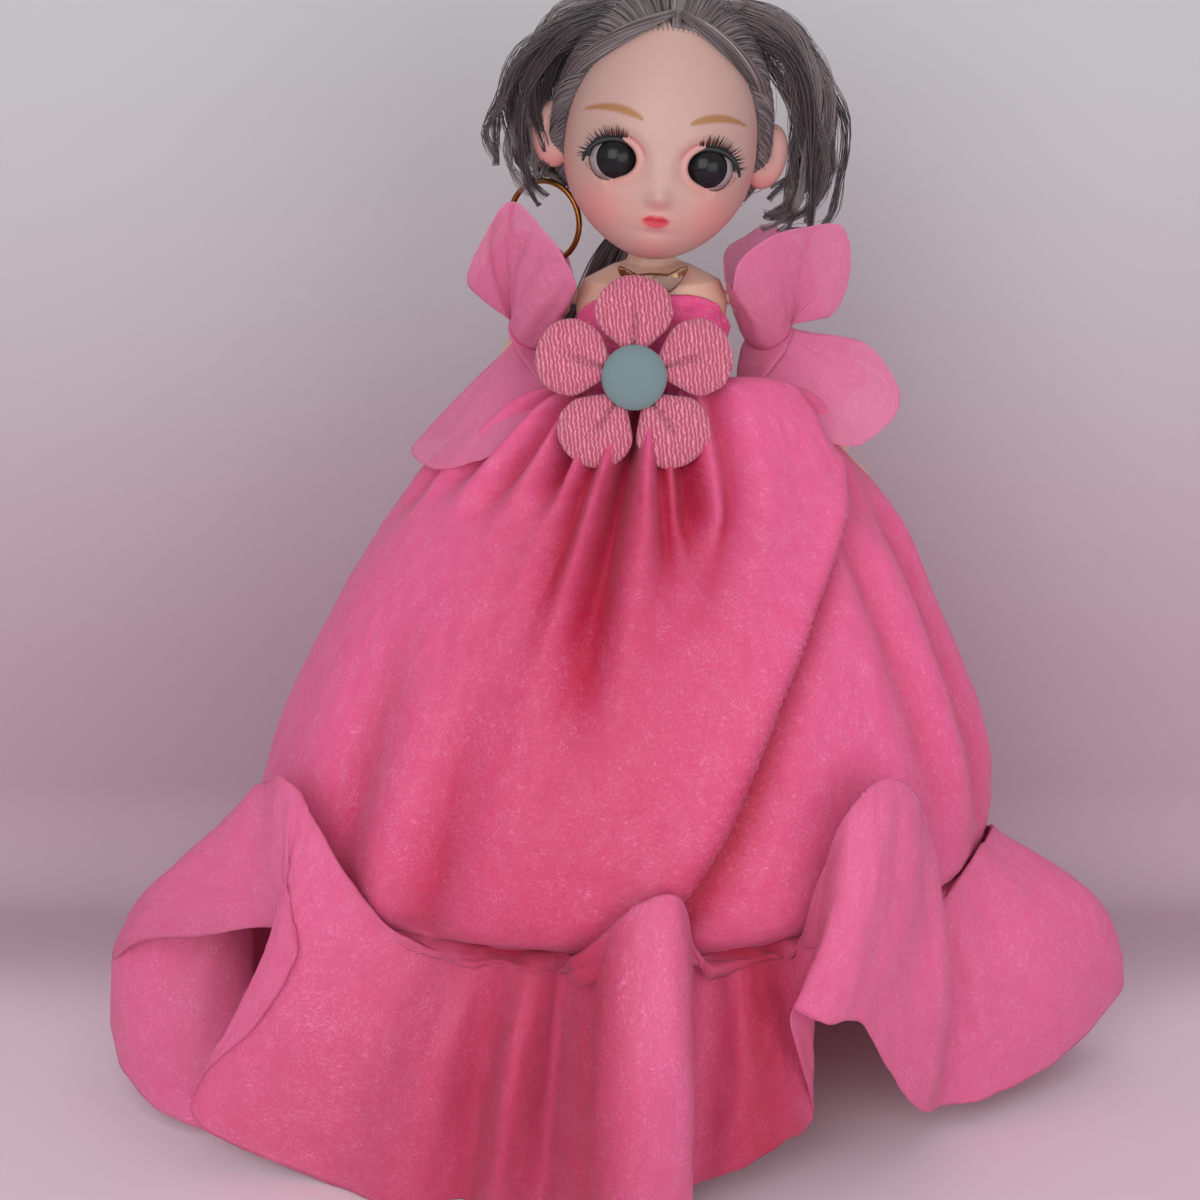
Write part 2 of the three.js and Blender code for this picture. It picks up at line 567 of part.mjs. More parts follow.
// The lower length is cut square on the side to which it bends, so that it clears the fork
function tongued(solid, hinge, bendSide) {
  const half = hinge.tongue / 2;
  const reach = hinge.radius + clearance;
  const faces = [0, bendSide * overrun];
  const notch = box([-overrun, Math.min(...faces), -reach], [overrun, Math.max(...faces), reach]);
  const disc = rod(hinge.radius - clearance, -half, half);
  const stem = box([-half, -hinge.radius * 0.65, -reach - hinge.tongue], [half, hinge.radius * 0.65, 0]);
  const hole = rod(hinge.pin + clearance, -overrun, overrun, divisions.small);
  return cut(cut(solid, rod(reach, -overrun, overrun), notch).add(solidOf(disc)).add(solidOf(stem)), hole);
}

const pinOf = (hinge) =>
  rod(hinge.pin, clearance - hinge.halfWidth, hinge.halfWidth - clearance, divisions.small);

// The ball and peg that carry a limb: the peg points to the middle of the body
function limbJoint(joint, side) {
  const flangeAt = joint.flangeInner - joint.offset;
  const profile = [
    [0, flangeAt], [joint.flange, flangeAt], [joint.flange, flangeAt + joint.flangeThickness],
    [joint.peg, flangeAt + joint.flangeThickness], ...ballProfile(joint.ball, 0, joint.peg, 0),
  ];
  return turnedAlongX(profile, side);
}

// The slot in which a limb's cap passes the peg
function pegSlot(joint, side, lowest, highest) {
  const margin = THREE.MathUtils.radToDeg(Math.asin((joint.peg + clearance) / (joint.ball + clearance)));
  const reach = joint.cap * 1.5;
  return wedge(side, lowest - margin, highest + margin, reach, 2 * (joint.peg + clearance));
}

function buildHand(parent, side) {
  const palm = ball(1, divisions.small);
  palm.scale(hand.palmHalfThickness, hand.palmHalfWidth, hand.palmLength / 2);
  const half = hand.palmHalfWidth;
  let solid = joined(
    palm.translate(0, 0, -clearance - hand.palmLength / 2),
    rod(wrist.peg, 0, wrist.depth, divisions.small).rotateY(-Math.PI / 2).translate(0, 0, -clearance * 2),
  );
  const digit = (radius, length) =>
    new THREE.CapsuleGeometry(radius, length - 2 * radius, 2, divisions.small);
  for (const [place, lengthShare] of fingerShares) {
    const length = hand.fingerLength * lengthShare;
    const root = -hand.palmLength * handShares.fingerRoot;
    const finger = digit(hand.finger, length).rotateX(Math.PI / 2);
    solid = solid.add(solidOf(finger.translate(0, place * half, root - length / 2)));
  }
  const thumb = digit(hand.thumb, hand.thumbLength).rotateX(Math.PI / 2).rotateX(-radians(hand.thumbAngle));
  thumb.translate(0, -half * handShares.thumbOut, -hand.palmLength * handShares.thumbRoot);
  addPiece(parent, `${side}_hand`, solid.add(solidOf(thumb)), bodyPlastic);
}

function ruffle(side, spread, turn, shape) {
  const outward = side > 0 ? -radians(turn) : Math.PI + radians(turn);
  return (u, v, face) => {
    const swing = radians(spread) * (2 * u - 1);
    const { radius, level } = shape(swing, v);
    const size = radius - face * cloth.thickness;
    return [size * Math.cos(outward + swing), size * Math.sin(outward + swing), level];
  };
}

function buildSleeve(parent, name, side) {
  const tieOuter = arm.topRadius + clearance + 2 * sleeve.elastic;
  const middle = tieOuter - sleeve.elastic;
  const band = new THREE.TorusGeometry(middle, sleeve.elastic, divisions.arc, divisions.limb);
  addPiece(parent, `${name}_sleeve_elastic`, band.translate(0, 0, -sleeve.tieAt), elasticCloth);
  const rootRadius = Math.max(tieOuter, shoulder.cap) + clearance + cloth.thickness;
  const wave = (swing, v) => 1 + sleeveShares.fold * v * Math.cos(swing * sleeve.folds);
  const width = (lift) => THREE.MathUtils.lerp(sleeveShares.back, 1, lift);
  const upper = (swing, v) => {
    const lift = Math.cos(swing * sleeveShares.upperFall) ** 2;
    const radius = rootRadius + sleeve.upperFlare * (1 - v) * width(lift) * wave(swing, v);
    const rise = (sleeve.tieAt + sleeve.overShoulder * lift) * (1 - v);
    return { radius, level: rise - sleeve.tieAt + sleeve.elastic };
  };
  const lower = (swing, v) => {
    const lift = Math.cos(swing * sleeveShares.lowerFall) ** 4;
    const radius = rootRadius + sleeve.lowerFlare * v ** sleeveShares.bulge * width(lift) * wave(swing, v);
    return { radius, level: -sleeve.tieAt - sleeve.elastic - sleeve.lowerLength * v };
  };
  const shell = (spread, turn, shape) =>
    clothShell(divisions.ruffle, 3, ruffle(side, spread, turn, shape), false);
  const upperShell = shell(sleeve.upperSpread, sleeve.upperTurn, upper);
  addPiece(parent, `${name}_sleeve_upper_ruffle`, upperShell, organza);
  addPiece(parent, `${name}_sleeve_lower_ruffle`, shell(sleeve.lowerSpread, 0, lower), organza);
}

function buildArm(name, side) {
  const swing = addGroup(doll, ...shoulderPoint(side));
  swing.rotation.x = radians(pose.armBack);
  addPiece(swing, `${name}_shoulder_joint`, limbJoint(shoulder, side), jointPlastic);
  const raise = addGroup(swing, 0, 0, 0);
  raise.rotation.y = -side * radians(pose.armOut);
  const upper = joined(ball(shoulder.cap), turned([
    [0, -arm.upperLength], [arm.lowRadius, -arm.upperLength], [arm.lowRadius, elbow.radius - arm.upperLength],
    [arm.topRadius, -arm.upperLength / 2], [arm.topRadius, -shoulder.cap / 2], [0, 0],
  ]));
  const turn = side * radians(pose.elbowTwist);
  const slot = pegSlot(shoulder, side, shoulder.raiseLowest, shoulder.raiseHighest);
  const socket = ball(shoulder.ball + clearance, divisions.socket);
  const upperArm = cut(forked(upper, elbow, -arm.upperLength, turn), socket, slot);
  addPiece(raise, `${name}_upper_arm`, largest(upperArm), bodyPlastic);
  buildSleeve(raise, name, side);
  const twisted = addGroup(raise, 0, 0, -arm.upperLength);
  twisted.rotation.z = turn;
  addPiece(twisted, `${name}_elbow_pin`, pinOf(elbow), jointPlastic);
  const bend = addGroup(twisted, 0, 0, 0);
  bend.rotation.x = -radians(pose.elbowBend);
  const fore = solidOf(turned([
    [0, -arm.foreLength], [arm.wristRadius, -arm.foreLength], [arm.lowRadius, -arm.foreLength / 3],
    [arm.lowRadius, 0], [0, 0],
  ]));
  const wristHole = rod(wrist.peg + clearance, -clearance, wrist.depth, divisions.small);
  wristHole.rotateY(-Math.PI / 2);
  const forearm = cut(tongued(fore, elbow, -1), wristHole.translate(0, 0, -arm.foreLength));
  addPiece(bend, `${name}_forearm`, forearm, bodyPlastic);
  buildHand(addGroup(bend, 0, 0, -arm.foreLength), name);
}

// Leg: thigh on the hip ball, knee hinge, ankle ball in the foot, and a slip-on shoe
function footForm(growth) {
  return ball(1)
    .scale(foot.halfWidth + growth, foot.halfLength + growth, foot.halfHeight + growth)
    .translate(0, -foot.forward, foot.centreRise - ankleHeight);
}

function buildFoot(parent, name) {
  const floor = -ankleHeight;
  const soleTop = floor + shoe.sole + clearance;
  const roomRadius = ankle.ball + clearance + ankle.wall + clearance;
  const level = box([-overrun, -overrun, floor - overrun], [overrun, overrun, soleTop]);
  const below = solidOf(turned([
    [0, foot.centreRise + floor], [ankle.neck, foot.centreRise + floor],
    ...ballProfile(ankle.ball, 0, ankle.neck, 0),
  ]));
  const footSolid = cut(solidOf(footForm(0)), level, ball(roomRadius)).add(below);
  addPiece(parent, `${name}_foot`, footSolid, bodyPlastic);
  const shoeTop = box([-overrun, -overrun, floor + shoe.top], [overrun, overrun, overrun]);
  const ground = box([-overrun, -overrun, floor - overrun], [overrun, overrun, floor]);
  const sole = new THREE.CylinderGeometry(1, 1, shoe.sole, divisions.limb).rotateX(Math.PI / 2);
  sole.scale(foot.halfWidth + shoe.wall, foot.halfLength + shoe.wall, 1);
  sole.translate(0, -foot.forward, floor + shoe.sole / 2);
  const room = cut(solidOf(footForm(clearance)), level.translate(0, 0, -clearance));
  const whole = solidOf(footForm(shoe.wall)).add(solidOf(sole));
  const upper = cut(whole, ground, shoeTop, ball(roomRadius)).subtract(room);
  addPiece(parent, `${name}_shoe`, upper, shoeVinyl);
}

function buildLeg(name, side) {
  const hipGroup = addGroup(doll, ...hipPoint(side));
  addPiece(hipGroup, `${name}_hip_joint`, limbJoint(hip, side), jointPlastic);
  const thighForm = joined(ball(hip.cap), turned([
    [0, -thighLength], [leg.kneeRadius, -thighLength], [leg.kneeRadius, knee.radius - thighLength],
    [leg.midRadius, -thighLength / 3], [leg.topRadius, -hip.cap / 3], [0, 0],
  ]));
  const slot = pegSlot(hip, side, 0, hip.spreadHighest);
  const hipRoom = ball(hip.ball + clearance, divisions.socket);
  const thigh = cut(forked(thighForm, knee, -thighLength), hipRoom, slot);
  addPiece(hipGroup, `${name}_thigh`, largest(thigh), bodyPlastic);
  const kneeGroup = addGroup(hipGroup, 0, 0, -thighLength);
  addPiece(kneeGroup, `${name}_knee_pin`, pinOf(knee), jointPlastic);
  const socketOuter = ankle.ball + clearance + ankle.wall;
  const shinForm = turned([
    [0, -shinLength - ankle.rimDrop], [socketOuter, -shinLength - ankle.rimDrop], [socketOuter, -shinLength],
    [leg.ankleRadius, socketOuter - shinLength], [leg.calfRadius, -shinLength * leg.calfShare],
    [leg.kneeRadius, 0], [0, 0],
  ]);
  const mouth = turned([
    [0, -ankle.rimDrop * 3], [ankle.ball + ankle.wall / 2, -ankle.rimDrop * 3], [ankle.ball, 0], [0, 0],
  ]);
  const socket = ball(ankle.ball + clearance, divisions.socket);
  socket.translate(0, 0, -shinLength);
  mouth.translate(0, 0, -shinLength);
  const shin = cut(tongued(solidOf(shinForm), knee, 1), socket, mouth);
  addPiece(kneeGroup, `${name}_shin`, shin, bodyPlastic);
  buildFoot(addGroup(kneeGroup, 0, 0, -shinLength), name);
}

// Gown: bodice, its fastener strip, the skirt and the four panels of the flounce
function buildBodice() {
  const level = (share) => hipHeight + share * torsoRise;
  const wall = (growth) => bodiceShares.map((share) => [torsoRadius(share) + growth, level(share)]);
  const band = turned(ring(wall(bodice.fit * 2 + cloth.thickness), wall(bodice.fit)), divisions.torso);
  let solid = solidOf(band.scale(1, torso.depthShare, 1));
  for (const [, side] of sides) {
    const capRoom = ball(shoulder.cap + 2 * clearance, divisions.socket);
    const pegRoom = rod(shoulder.peg + clearance, -shoulder.offset / 2, shoulder.offset / 2);
    solid = cut(solid, capRoom.translate(...shoulderPoint(side)), pegRoom.translate(...shoulderPoint(side)));
  }
  addPiece(doll, 'bodice', solid, organza);
  const outer = wall(bodice.fit * 2 + cloth.thickness);
  const back = Math.max(...outer.map(([radius]) => radius)) * torso.depthShare + clearance;
  const bottom = outer[1][1];
  const top = outer[outer.length - 1][1] - fastener.margin;
  const strip = box([-fastener.halfWidth, 0, bottom], [fastener.halfWidth, back + fastener.thickness, top]);
  const clearWall = wall(bodice.fit * 2 + cloth.thickness + fastener.gap);
  const clear = turned([[0, 0], ...clearWall, [0, headHeight]], divisions.torso);
  addPiece(doll, 'bodice_fastener', cut(solidOf(strip), clear.scale(1, torso.depthShare, 1)), fastenerTape);
}

function skirtRow(v) {
  const place = v * (skirtShares.length - 1);
  const above = Math.min(Math.floor(place), skirtShares.length - 2);
  const below = skirtShares[above + 1];
  return skirtShares[above].map((value, item) => THREE.MathUtils.lerp(value, below[item], place - above));
}

function buildSkirt() {
  const pointAt = (u, v, face) => {
    const angle = 2 * Math.PI * u;
    const [height, width, depth] = skirtRow(v);
    const fold = 1 + gown.foldShare * v * (Math.cos(gown.folds * angle) - 1);
    const x = (gown.skirtHalfWidth * width - face * cloth.thickness) * fold * Math.cos(angle);
    const y = (gown.skirtHalfDepth * depth - face * cloth.thickness) * fold * Math.sin(angle);
    return [x - gown.skirtShift * v ** 2, y, waistHeight * height];
  };
  addPiece(doll, 'skirt', clothShell(divisions.skirt, skirtShares.length - 1, pointAt, true), organza);
}

function buildFlounce() {
  const [seamShare, seamWidth, seamDepth] = skirtShares[skirtShares.length - 1];
  const seam = { width: gown.skirtHalfWidth * seamWidth, depth: gown.skirtHalfDepth * seamDepth };
  seam.level = waistHeight * seamShare - cloth.gap;
  const panels = [['left', 0], ['back', 90], ['right', 180], ['front', 270]];
  for (const [name, middle] of panels) {
    const pointAt = (u, v, face) => {
      const angle = radians(middle + 90 * (u - 0.5) * (1 - flounce.gapShare));
      const fold = 1 + flounce.foldShare * v * (Math.cos(flounce.folds * angle) - 1);
      const spread = v ** flounce.bulgeShare;
      const width = THREE.MathUtils.lerp(seam.width, flounce.halfWidth, spread) - face * cloth.thickness;
      const depth = THREE.MathUtils.lerp(seam.depth, flounce.halfDepth, spread) - face * cloth.thickness;
      const hem = flounce.sideLift * Math.cos(angle) ** 2;
      const shift = gown.skirtShift * (1 - v);
      const level = THREE.MathUtils.lerp(seam.level, hem, v);
      return [width * fold * Math.cos(angle) - shift, depth * fold * Math.sin(angle), level];
    };
    addPiece(doll, `flounce_${name}`, clothShell(divisions.flounce, 4, pointAt, false), organza);
  }
}

// Flower: five padded petals round a covered button, stitched to the bodice by the button's shank
function buildFlower() {
  const group = addGroup(doll, flower.centreX, -flower.front, shoulderHeight - flower.drop);
  group.rotation.x = -radians(flower.tilt);
  petalNames.forEach((name, place) => {
    const angle = 2 * Math.PI * place / petalNames.length;
    const petal = ball(1, divisions.limb);
    petal.scale(flower.petalHalfWidth, flower.petalHalfThickness, flower.petalHalf);
    petal.translate(0, 0, flower.petalRing).rotateY(-angle);
    const shank = rod(button.shank + clearance, -overrun, overrun, divisions.small).rotateZ(Math.PI / 2);
    const faceRadius = button.radius + clearance;
    const face = turnedAlongX([[0, 0], [faceRadius, 0], [faceRadius, overrun], [0, overrun]], 1);
    face.rotateZ(-Math.PI / 2).translate(0, clearance - button.back, 0);
    addPiece(group, `petal_${name}`, largest(cut(solidOf(petal), shank, face)), seersucker);
  });
  const chest = flower.front - torsoRadius(1 - flower.drop / torsoRise) * torso.depthShare - cloth.thickness;
  const back = -button.back;
  const front = back - button.rimThickness;
  const root = chest - bodice.fit * 2 - clearance;
  const profile = [
    [0, front - button.dome], [button.radius * button.domeShare, front - button.dome * button.crownShare],
    [button.radius, front], [button.radius, back], [button.shank, back], [button.shank, root], [0, root],
  ];
  addPiece(group, 'flower_button', turned(profile).rotateX(-Math.PI / 2), buttonCloth);
}

// Charm at the neckline: a flat head with two pointed ears
function buildPendant() {
  const half = (side) =>
    pendantShares.map(([x, z]) => new THREE.Vector2(side * x * pendant.halfWidth, z * pendant.height));
  const shape = new THREE.Shape([...half(1), ...half(-1).reverse()]);
  const plate = new THREE.ExtrudeGeometry(shape, { depth: pendant.thickness, bevelEnabled: false });
  const chest = torsoRadius(bodice.topShare) * torso.depthShare;
  plate.rotateX(Math.PI / 2).translate(0, -chest, hipHeight + bodice.topShare * torsoRise + clearance);
  addPiece(doll, 'pendant_charm', plate, charmEnamel);
}

buildTorso();
buildBodice();
buildSkirt();
buildFlounce();
buildFlower();
buildPendant();
const neckGroup = addGroup(doll, 0, 0, neckHeight);
buildNeckPost(neckGroup);
const headGroup = addGroup(neckGroup, 0, 0, neckPostLength);
headGroup.rotation.y = radians(pose.headTilt);
buildNeckPlug(headGroup);
buildHeadShell(headGroup);
buildEyes(headGroup);
buildHair(headGroup);
buildEarring(headGroup);
for (const [name, side] of sides) {
  buildArm(name, side);
  buildLeg(name, side);
}

export default doll;
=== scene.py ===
import json
import math

import bpy
import numpy as np
from bpy.props import FloatProperty, FloatVectorProperty, IntProperty, PointerProperty
from mathutils import Matrix, Vector


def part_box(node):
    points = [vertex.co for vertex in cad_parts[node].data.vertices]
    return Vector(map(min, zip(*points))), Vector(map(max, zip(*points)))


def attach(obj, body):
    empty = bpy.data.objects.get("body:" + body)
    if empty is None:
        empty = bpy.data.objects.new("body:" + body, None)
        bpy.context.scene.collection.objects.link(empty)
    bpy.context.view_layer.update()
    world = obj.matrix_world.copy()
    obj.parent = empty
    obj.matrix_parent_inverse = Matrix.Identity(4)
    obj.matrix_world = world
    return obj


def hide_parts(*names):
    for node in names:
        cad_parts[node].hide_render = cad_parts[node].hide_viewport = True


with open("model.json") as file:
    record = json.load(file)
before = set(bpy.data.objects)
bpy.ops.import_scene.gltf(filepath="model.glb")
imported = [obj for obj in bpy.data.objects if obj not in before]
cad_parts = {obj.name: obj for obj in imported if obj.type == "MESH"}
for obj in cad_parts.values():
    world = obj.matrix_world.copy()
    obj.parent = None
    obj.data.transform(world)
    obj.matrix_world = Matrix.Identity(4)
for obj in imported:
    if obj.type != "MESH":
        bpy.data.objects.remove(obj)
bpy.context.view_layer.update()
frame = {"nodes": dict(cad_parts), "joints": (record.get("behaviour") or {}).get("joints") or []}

bl_info = {
    "name": "Posable doll in a ball gown",
    "version": (1, 0, 0),
    "blender": (4, 5, 0),
    "location": "View3D > Sidebar > Doll",
    "description": "Models a jointed doll, its hair and its crinkled gown round the packed frame",
    "category": "Add Mesh",
}

MM = 0.001
JOINTS = {joint["name"]: joint for joint in frame["joints"]}
SIDES = (("left", 1), ("right", -1))

# Head, in millimetres from its pivot before it is tilted
HEAD_TILT = math.radians(6)
HEAD_HALF_WIDTH, HEAD_HALF_DEPTH = 25.6, 29.0
HEAD_UPPER, HEAD_LOWER = 39.0, 27.0
HEAD_BACK, HEAD_RISE = -2.0, 20.0
CHEEK_SHARE, CHIN_SHARE, SHEAR_SHARE = 0.3, 0.25, 0.3
EAR_OUT, EAR_BACK, EAR_RISE = 29.0, 4.5, 19.5
EAR_HALF_WIDTH, EAR_HALF_DEPTH, EAR_HALF_HEIGHT = 5.8, 3.2, 9.0
EYE_OUT, EYE_RISE, EYE_RADIUS, EYE_SUNK = 11.7, 17.7, 6.9, 6.3
EYE_YAW = math.radians(7)
EYE_OPENING = (5.8, 4.6)
IRIS_RADIUS, EYE_ROOM = 5.15, 0.3
UPPER_LASHES, LOWER_LASHES = 58, 13
NECK_RECESS_RADIUS, NECK_RECESS_TOP, NECK_RECESS_DEPTH = 9.0, 2.6, 30.0
HEAD_FRAME = Matrix.Translation(JOINTS["head_tilt"]["pos_m"])
HEAD_FRAME = HEAD_FRAME @ Matrix.Rotation(HEAD_TILT, 4, "Y") @ Matrix.Scale(MM, 4)

# Hair: where it starts on the forehead and the nape, and where it is gathered
HAIRLINE_TOP = np.array([0.0, -0.6, 0.8])
HAIRLINE_NAPE = np.array([0.0, 0.5, -0.866])
GATHER_WAY = np.array([0.0, 0.85, -0.527])
HAIR_THICKNESS = 3.0

# Skirt: rows of height, half width and half depth, from the waist to the seam of the flounce
SKIRT_ROWS = (
    (202.0, 17.6, 12.6), (207.5, 27.0, 18.0), (204.0, 38.0, 22.5), (193.0, 50.0, 30.0), (180.0, 63.0, 39.0),
    (163.7, 75.5, 50.5), (139.7, 88.0, 62.5), (105.8, 101.5, 74.5), (80.0, 105.0, 79.0), (72.0, 99.0, 76.0),
)
SKIRT_SHIFT = 10.0
SEAM_HEIGHT, SEAM_HALF_WIDTH, SEAM_HALF_DEPTH = 72.0, 99.0, 76.0


def tint(text):
    """An sRGB hex colour as linear red, green and blue."""
    values = [int(text[place:place + 2], 16) / 255 for place in (0, 2, 4)]
    return tuple(value / 12.92 if value <= 0.04045 else ((value + 0.055) / 1.055) ** 2.4 for value in values)


def colour_property(name, text, description):
    return FloatVectorProperty(
        name=name, description=description, default=tint(text), size=3, subtype="COLOR",
    )


def length_property(name, value, description):
    return FloatProperty(name=name, description=description, default=value, unit="LENGTH")


class DollSettings(bpy.types.PropertyGroup):
    vinyl: colour_property("Head vinyl", "B9968D", "Matt soft vinyl of the head")
    blush: colour_property("Blush", "D28883", "Sprayed blush on the cheeks, chin and ears")
    lips: colour_property("Lips", "BE2C3E", "Paint of the lips")
    brows: colour_property("Brows", "9A6A3A", "Paint of the brows")
    body: colour_property("Body plastic", "D8AD99", "Moulded body plastic")
    joint: colour_property("Joint plastic", "D0A490", "Plastic of the joints")
    hair: colour_property("Hair", "665A5C", "Middle tone of the hair fibre")
    hair_dark: colour_property("Hair, dark", "332A2E", "Tone between the strands")
    hair_light: colour_property("Hair, light", "9C9092", "Tone of the lightest strands")
    strand_radius: length_property("Strand radius", 0.16 * MM, "Half the width of one bundle of fibres")
    strands: IntProperty(name="Strands", description="Strands over the combed-back hair", default=900, min=10)


class GownSettings(bpy.types.PropertyGroup):
    organza: colour_property("Organza", "EF4A8A", "Dyed crinkle organza")
    # The deep colour is painted shade in the gathers and folds, partly where the cloth overlaps itself
    organza_overlap_and_shade: colour_property("Organza, deep", "C41243", "Organza where it is dense")
    # The light colour is painted on the fibres as painted highlights, and thin cloth fades towards it as a
    # painted glow
    organza_highlight: colour_property("Organza, light", "FA9AC4", "Fibres that catch the light")
    petals: colour_property("Petals", "B34A66", "Padded seersucker")
    # The ribs' colour is a painted highlight on the raised ribs, and the petals' colour lies in the hollows
    # between them
    lit_petal_ribs: colour_property("Petal ribs", "DA869B", "Raised ribs of the seersucker")
    button: colour_property("Button", "778F92", "Cloth of the covered button")
    sheet_thickness: length_property("Cloth thickness", 0.35 * MM, "Thickness of the organza")
    pleats: IntProperty(name="Small pleats", description="Pleats at the skirt's waist", default=44, min=4)


class StageSettings(bpy.types.PropertyGroup):
    floor: colour_property("Floor", "DCC8D3", "Floor round the doll")
    # A mauve painted shadow and pink painted reflection low on the wall behind the doll
    wall_shadow_and_reflection: colour_property("Wall, low", "B9A1AE", "Wall just behind the doll's feet")
    wall_high: colour_property("Wall, high", "BEBFC1", "Wall behind the doll's head")
    wall_distance: length_property("Wall distance", 0.14, "From the doll's middle to the wall")
    camera_distance: length_property("Camera distance", 0.6, "From the camera to the doll's middle, level")
    camera_height: length_property("Camera height", 0.327, "Height of the camera over the floor")
    camera_shift: length_property("Camera side", -0.014, "How far the camera stands to the side")
    camera_pitch: FloatProperty(
        name="Camera pitch", description="How far it looks down", default=math.radians(16.8), subtype="ANGLE",
    )
    focal_length: FloatProperty(name="Focal length", description="Of the lens, in millimetres", default=66.25)


def add_node(tree, kind, inputs, **settings):
    """Adds a node with its settings, its values and the links into it. A node given as a value is linked by
    its first output, and a colour is given as red, green and blue."""
    node = tree.nodes.new(f"ShaderNode{kind}")
    for name, value in settings.items():
        setattr(node, name, value)
    for name, value in inputs.items():
        socket = node.inputs[name]
        if isinstance(value, bpy.types.Node):
            value = next(output for output in value.outputs if output.enabled)
        if isinstance(value, bpy.types.NodeSocket):
            tree.links.new(value, socket)
        else:
            socket.default_value = (*value[:3], 1.0) if socket.type == "RGBA" else value
    return node


def new_material(name):
    material = bpy.data.materials.new(name)
    material.use_nodes = True
    material.node_tree.nodes.clear()
    return material, material.node_tree


def close_material(material, surface):
    add_node(material.node_tree, "OutputMaterial", {"Surface": surface})
    return material


def select_only(piece):
    bpy.ops.object.select_all(action="DESELECT")
    piece.select_set(True)
    bpy.context.view_layer.objects.active = piece


def add_primitive(shape, name, **settings):
    """A primitive added by its operator, with nothing else selected."""
    bpy.ops.object.select_all(action="DESELECT")
    getattr(bpy.ops.mesh, f"primitive_{shape}_add")(**settings)
    piece = bpy.context.object
    piece.name = name
    return piece


def transform(piece, *matrices):
    """Moves the places of a mesh by one matrix after another."""
    for matrix in matrices:
        piece.data.transform(matrix)


def turned(degrees, axis):
    return Matrix.Rotation(math.radians(degrees), 4, axis)


def edit_mesh(piece, *steps):
    """Runs edit-mode operators, each with its settings, on all of a mesh."""
    select_only(piece)
    bpy.ops.object.mode_set(mode="EDIT")
    bpy.ops.mesh.select_all(action="SELECT")
    for operator, settings in steps:
        operator(**settings)
    bpy.ops.object.mode_set(mode="OBJECT")


def apply_modifier(piece, kind, **settings):
    modifier = piece.modifiers.new(kind.title(), kind)
    for name, value in settings.items():
        setattr(modifier, name, value)
    select_only(piece)
    bpy.ops.object.modifier_apply(modifier=modifier.name)


def places_of(piece):
    places = np.empty(len(piece.data.vertices) * 3)
    piece.data.vertices.foreach_get("co", places)
    return places.reshape(-1, 3)


def move_places(piece, places):
    piece.data.vertices.foreach_set("co", np.ascontiguousarray(places, float).ravel())
    piece.data.update()


def new_piece(name, places, faces, smooth=True):
    """A mesh object with its place in its mesh."""
    mesh = bpy.data.meshes.new(name)
    mesh.from_pydata(np.asarray(places).reshape(-1, 3).tolist(), [], faces)
    mesh.validate()
    if smooth:
        mesh.shade_smooth()
    piece = bpy.data.objects.new(name, mesh)
    bpy.context.scene.collection.objects.link(piece)
    return piece


def give_attribute(piece, name, values):
    """Gives each place of a piece its value. The values for one face of a sheet serve for both."""
    attribute = piece.data.attributes.new(name, "FLOAT", "POINT")
    attribute.data.foreach_set("value", np.resize(np.asarray(values, np.float32), len(piece.data.vertices)))


def dress(piece, material, slot, body, *replaced):
    """Gives a finished piece its material, the body it rides on and the nodes it stands for. The slot is not
    used.
    """
    piece.data.materials.clear()
    piece.data.materials.append(material)
    if body:
        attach(piece, body)
    if replaced:
        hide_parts(*replaced)


def smooth_rows(rows, place, closed=False):
    """Smooth values between the rows of a table. The place runs from 0 to 1, or round and round if closed."""
    rows = np.asarray(rows, float)
    count = len(rows)
    spot = np.asarray(place, float) * (count if closed else count - 1)
    below = np.floor(spot).astype(int)
    if not closed:
        below = np.clip(below, 0, count - 2)
    share = (spot - below).reshape(spot.shape + (1,) * (rows.ndim - 1))
    picks = [below + step for step in (-1, 0, 1, 2)]
    picks = [pick % count if closed else np.clip(pick, 0, count - 1) for pick in picks]
    before, start, end, after = [rows[pick] for pick in picks]
    bend = 2 * before - 5 * start + 4 * end - after
    swing = 3 * start - before - 3 * end + after
    return 0.5 * (2 * start + (end - before) * share + bend * share ** 2 + swing * share ** 3)


def ease(low, high, values):
    """Rises smoothly from 0 at low to 1 at high."""
    share = np.clip((np.asarray(values, float) - low) / (high - low), 0, 1)
    return share * share * (3 - 2 * share)


def unit(vectors):
    """Vectors brought to a length of one."""
    return vectors / np.maximum(np.linalg.norm(vectors, axis=-1, keepdims=True), 1e-12)


def hump(values, centre, width):
    """Rises from 0 to 1 at the centre and falls again, like a bell."""
    return np.exp(-((np.asarray(values, float) - centre) / width) ** 2)


def soft_noise(x, y, seed, period=256):
    """Smooth random values from -1 to 1 that change over about one unit, and repeat along x at the period."""
    table = np.random.default_rng(seed).uniform(-1, 1, (256, 256))
    x_whole, y_whole = np.floor(x).astype(int), np.floor(y).astype(int)
    x_part, y_part = x - x_whole, y - y_whole
    x_part, y_part = x_part ** 2 * (3 - 2 * x_part), y_part ** 2 * (3 - 2 * y_part)
    columns = [(x_whole + step) % period for step in (0, 1)]
    rows = [(y_whole + step) % 256 for step in (0, 1)]
    near = table[columns[0], rows[0]] * (1 - x_part) + table[columns[1], rows[0]] * x_part
    far = table[columns[0], rows[1]] * (1 - x_part) + table[columns[1], rows[1]] * x_part
    return near * (1 - y_part) + far * y_part


def ring_noise(turns, shares, cells_round, cells_down, seed):
    """Soft noise on a sheet that closes round, with so many cells round it and down it."""
    return soft_noise(turns * cells_round, shares * cells_down, seed, cells_round)


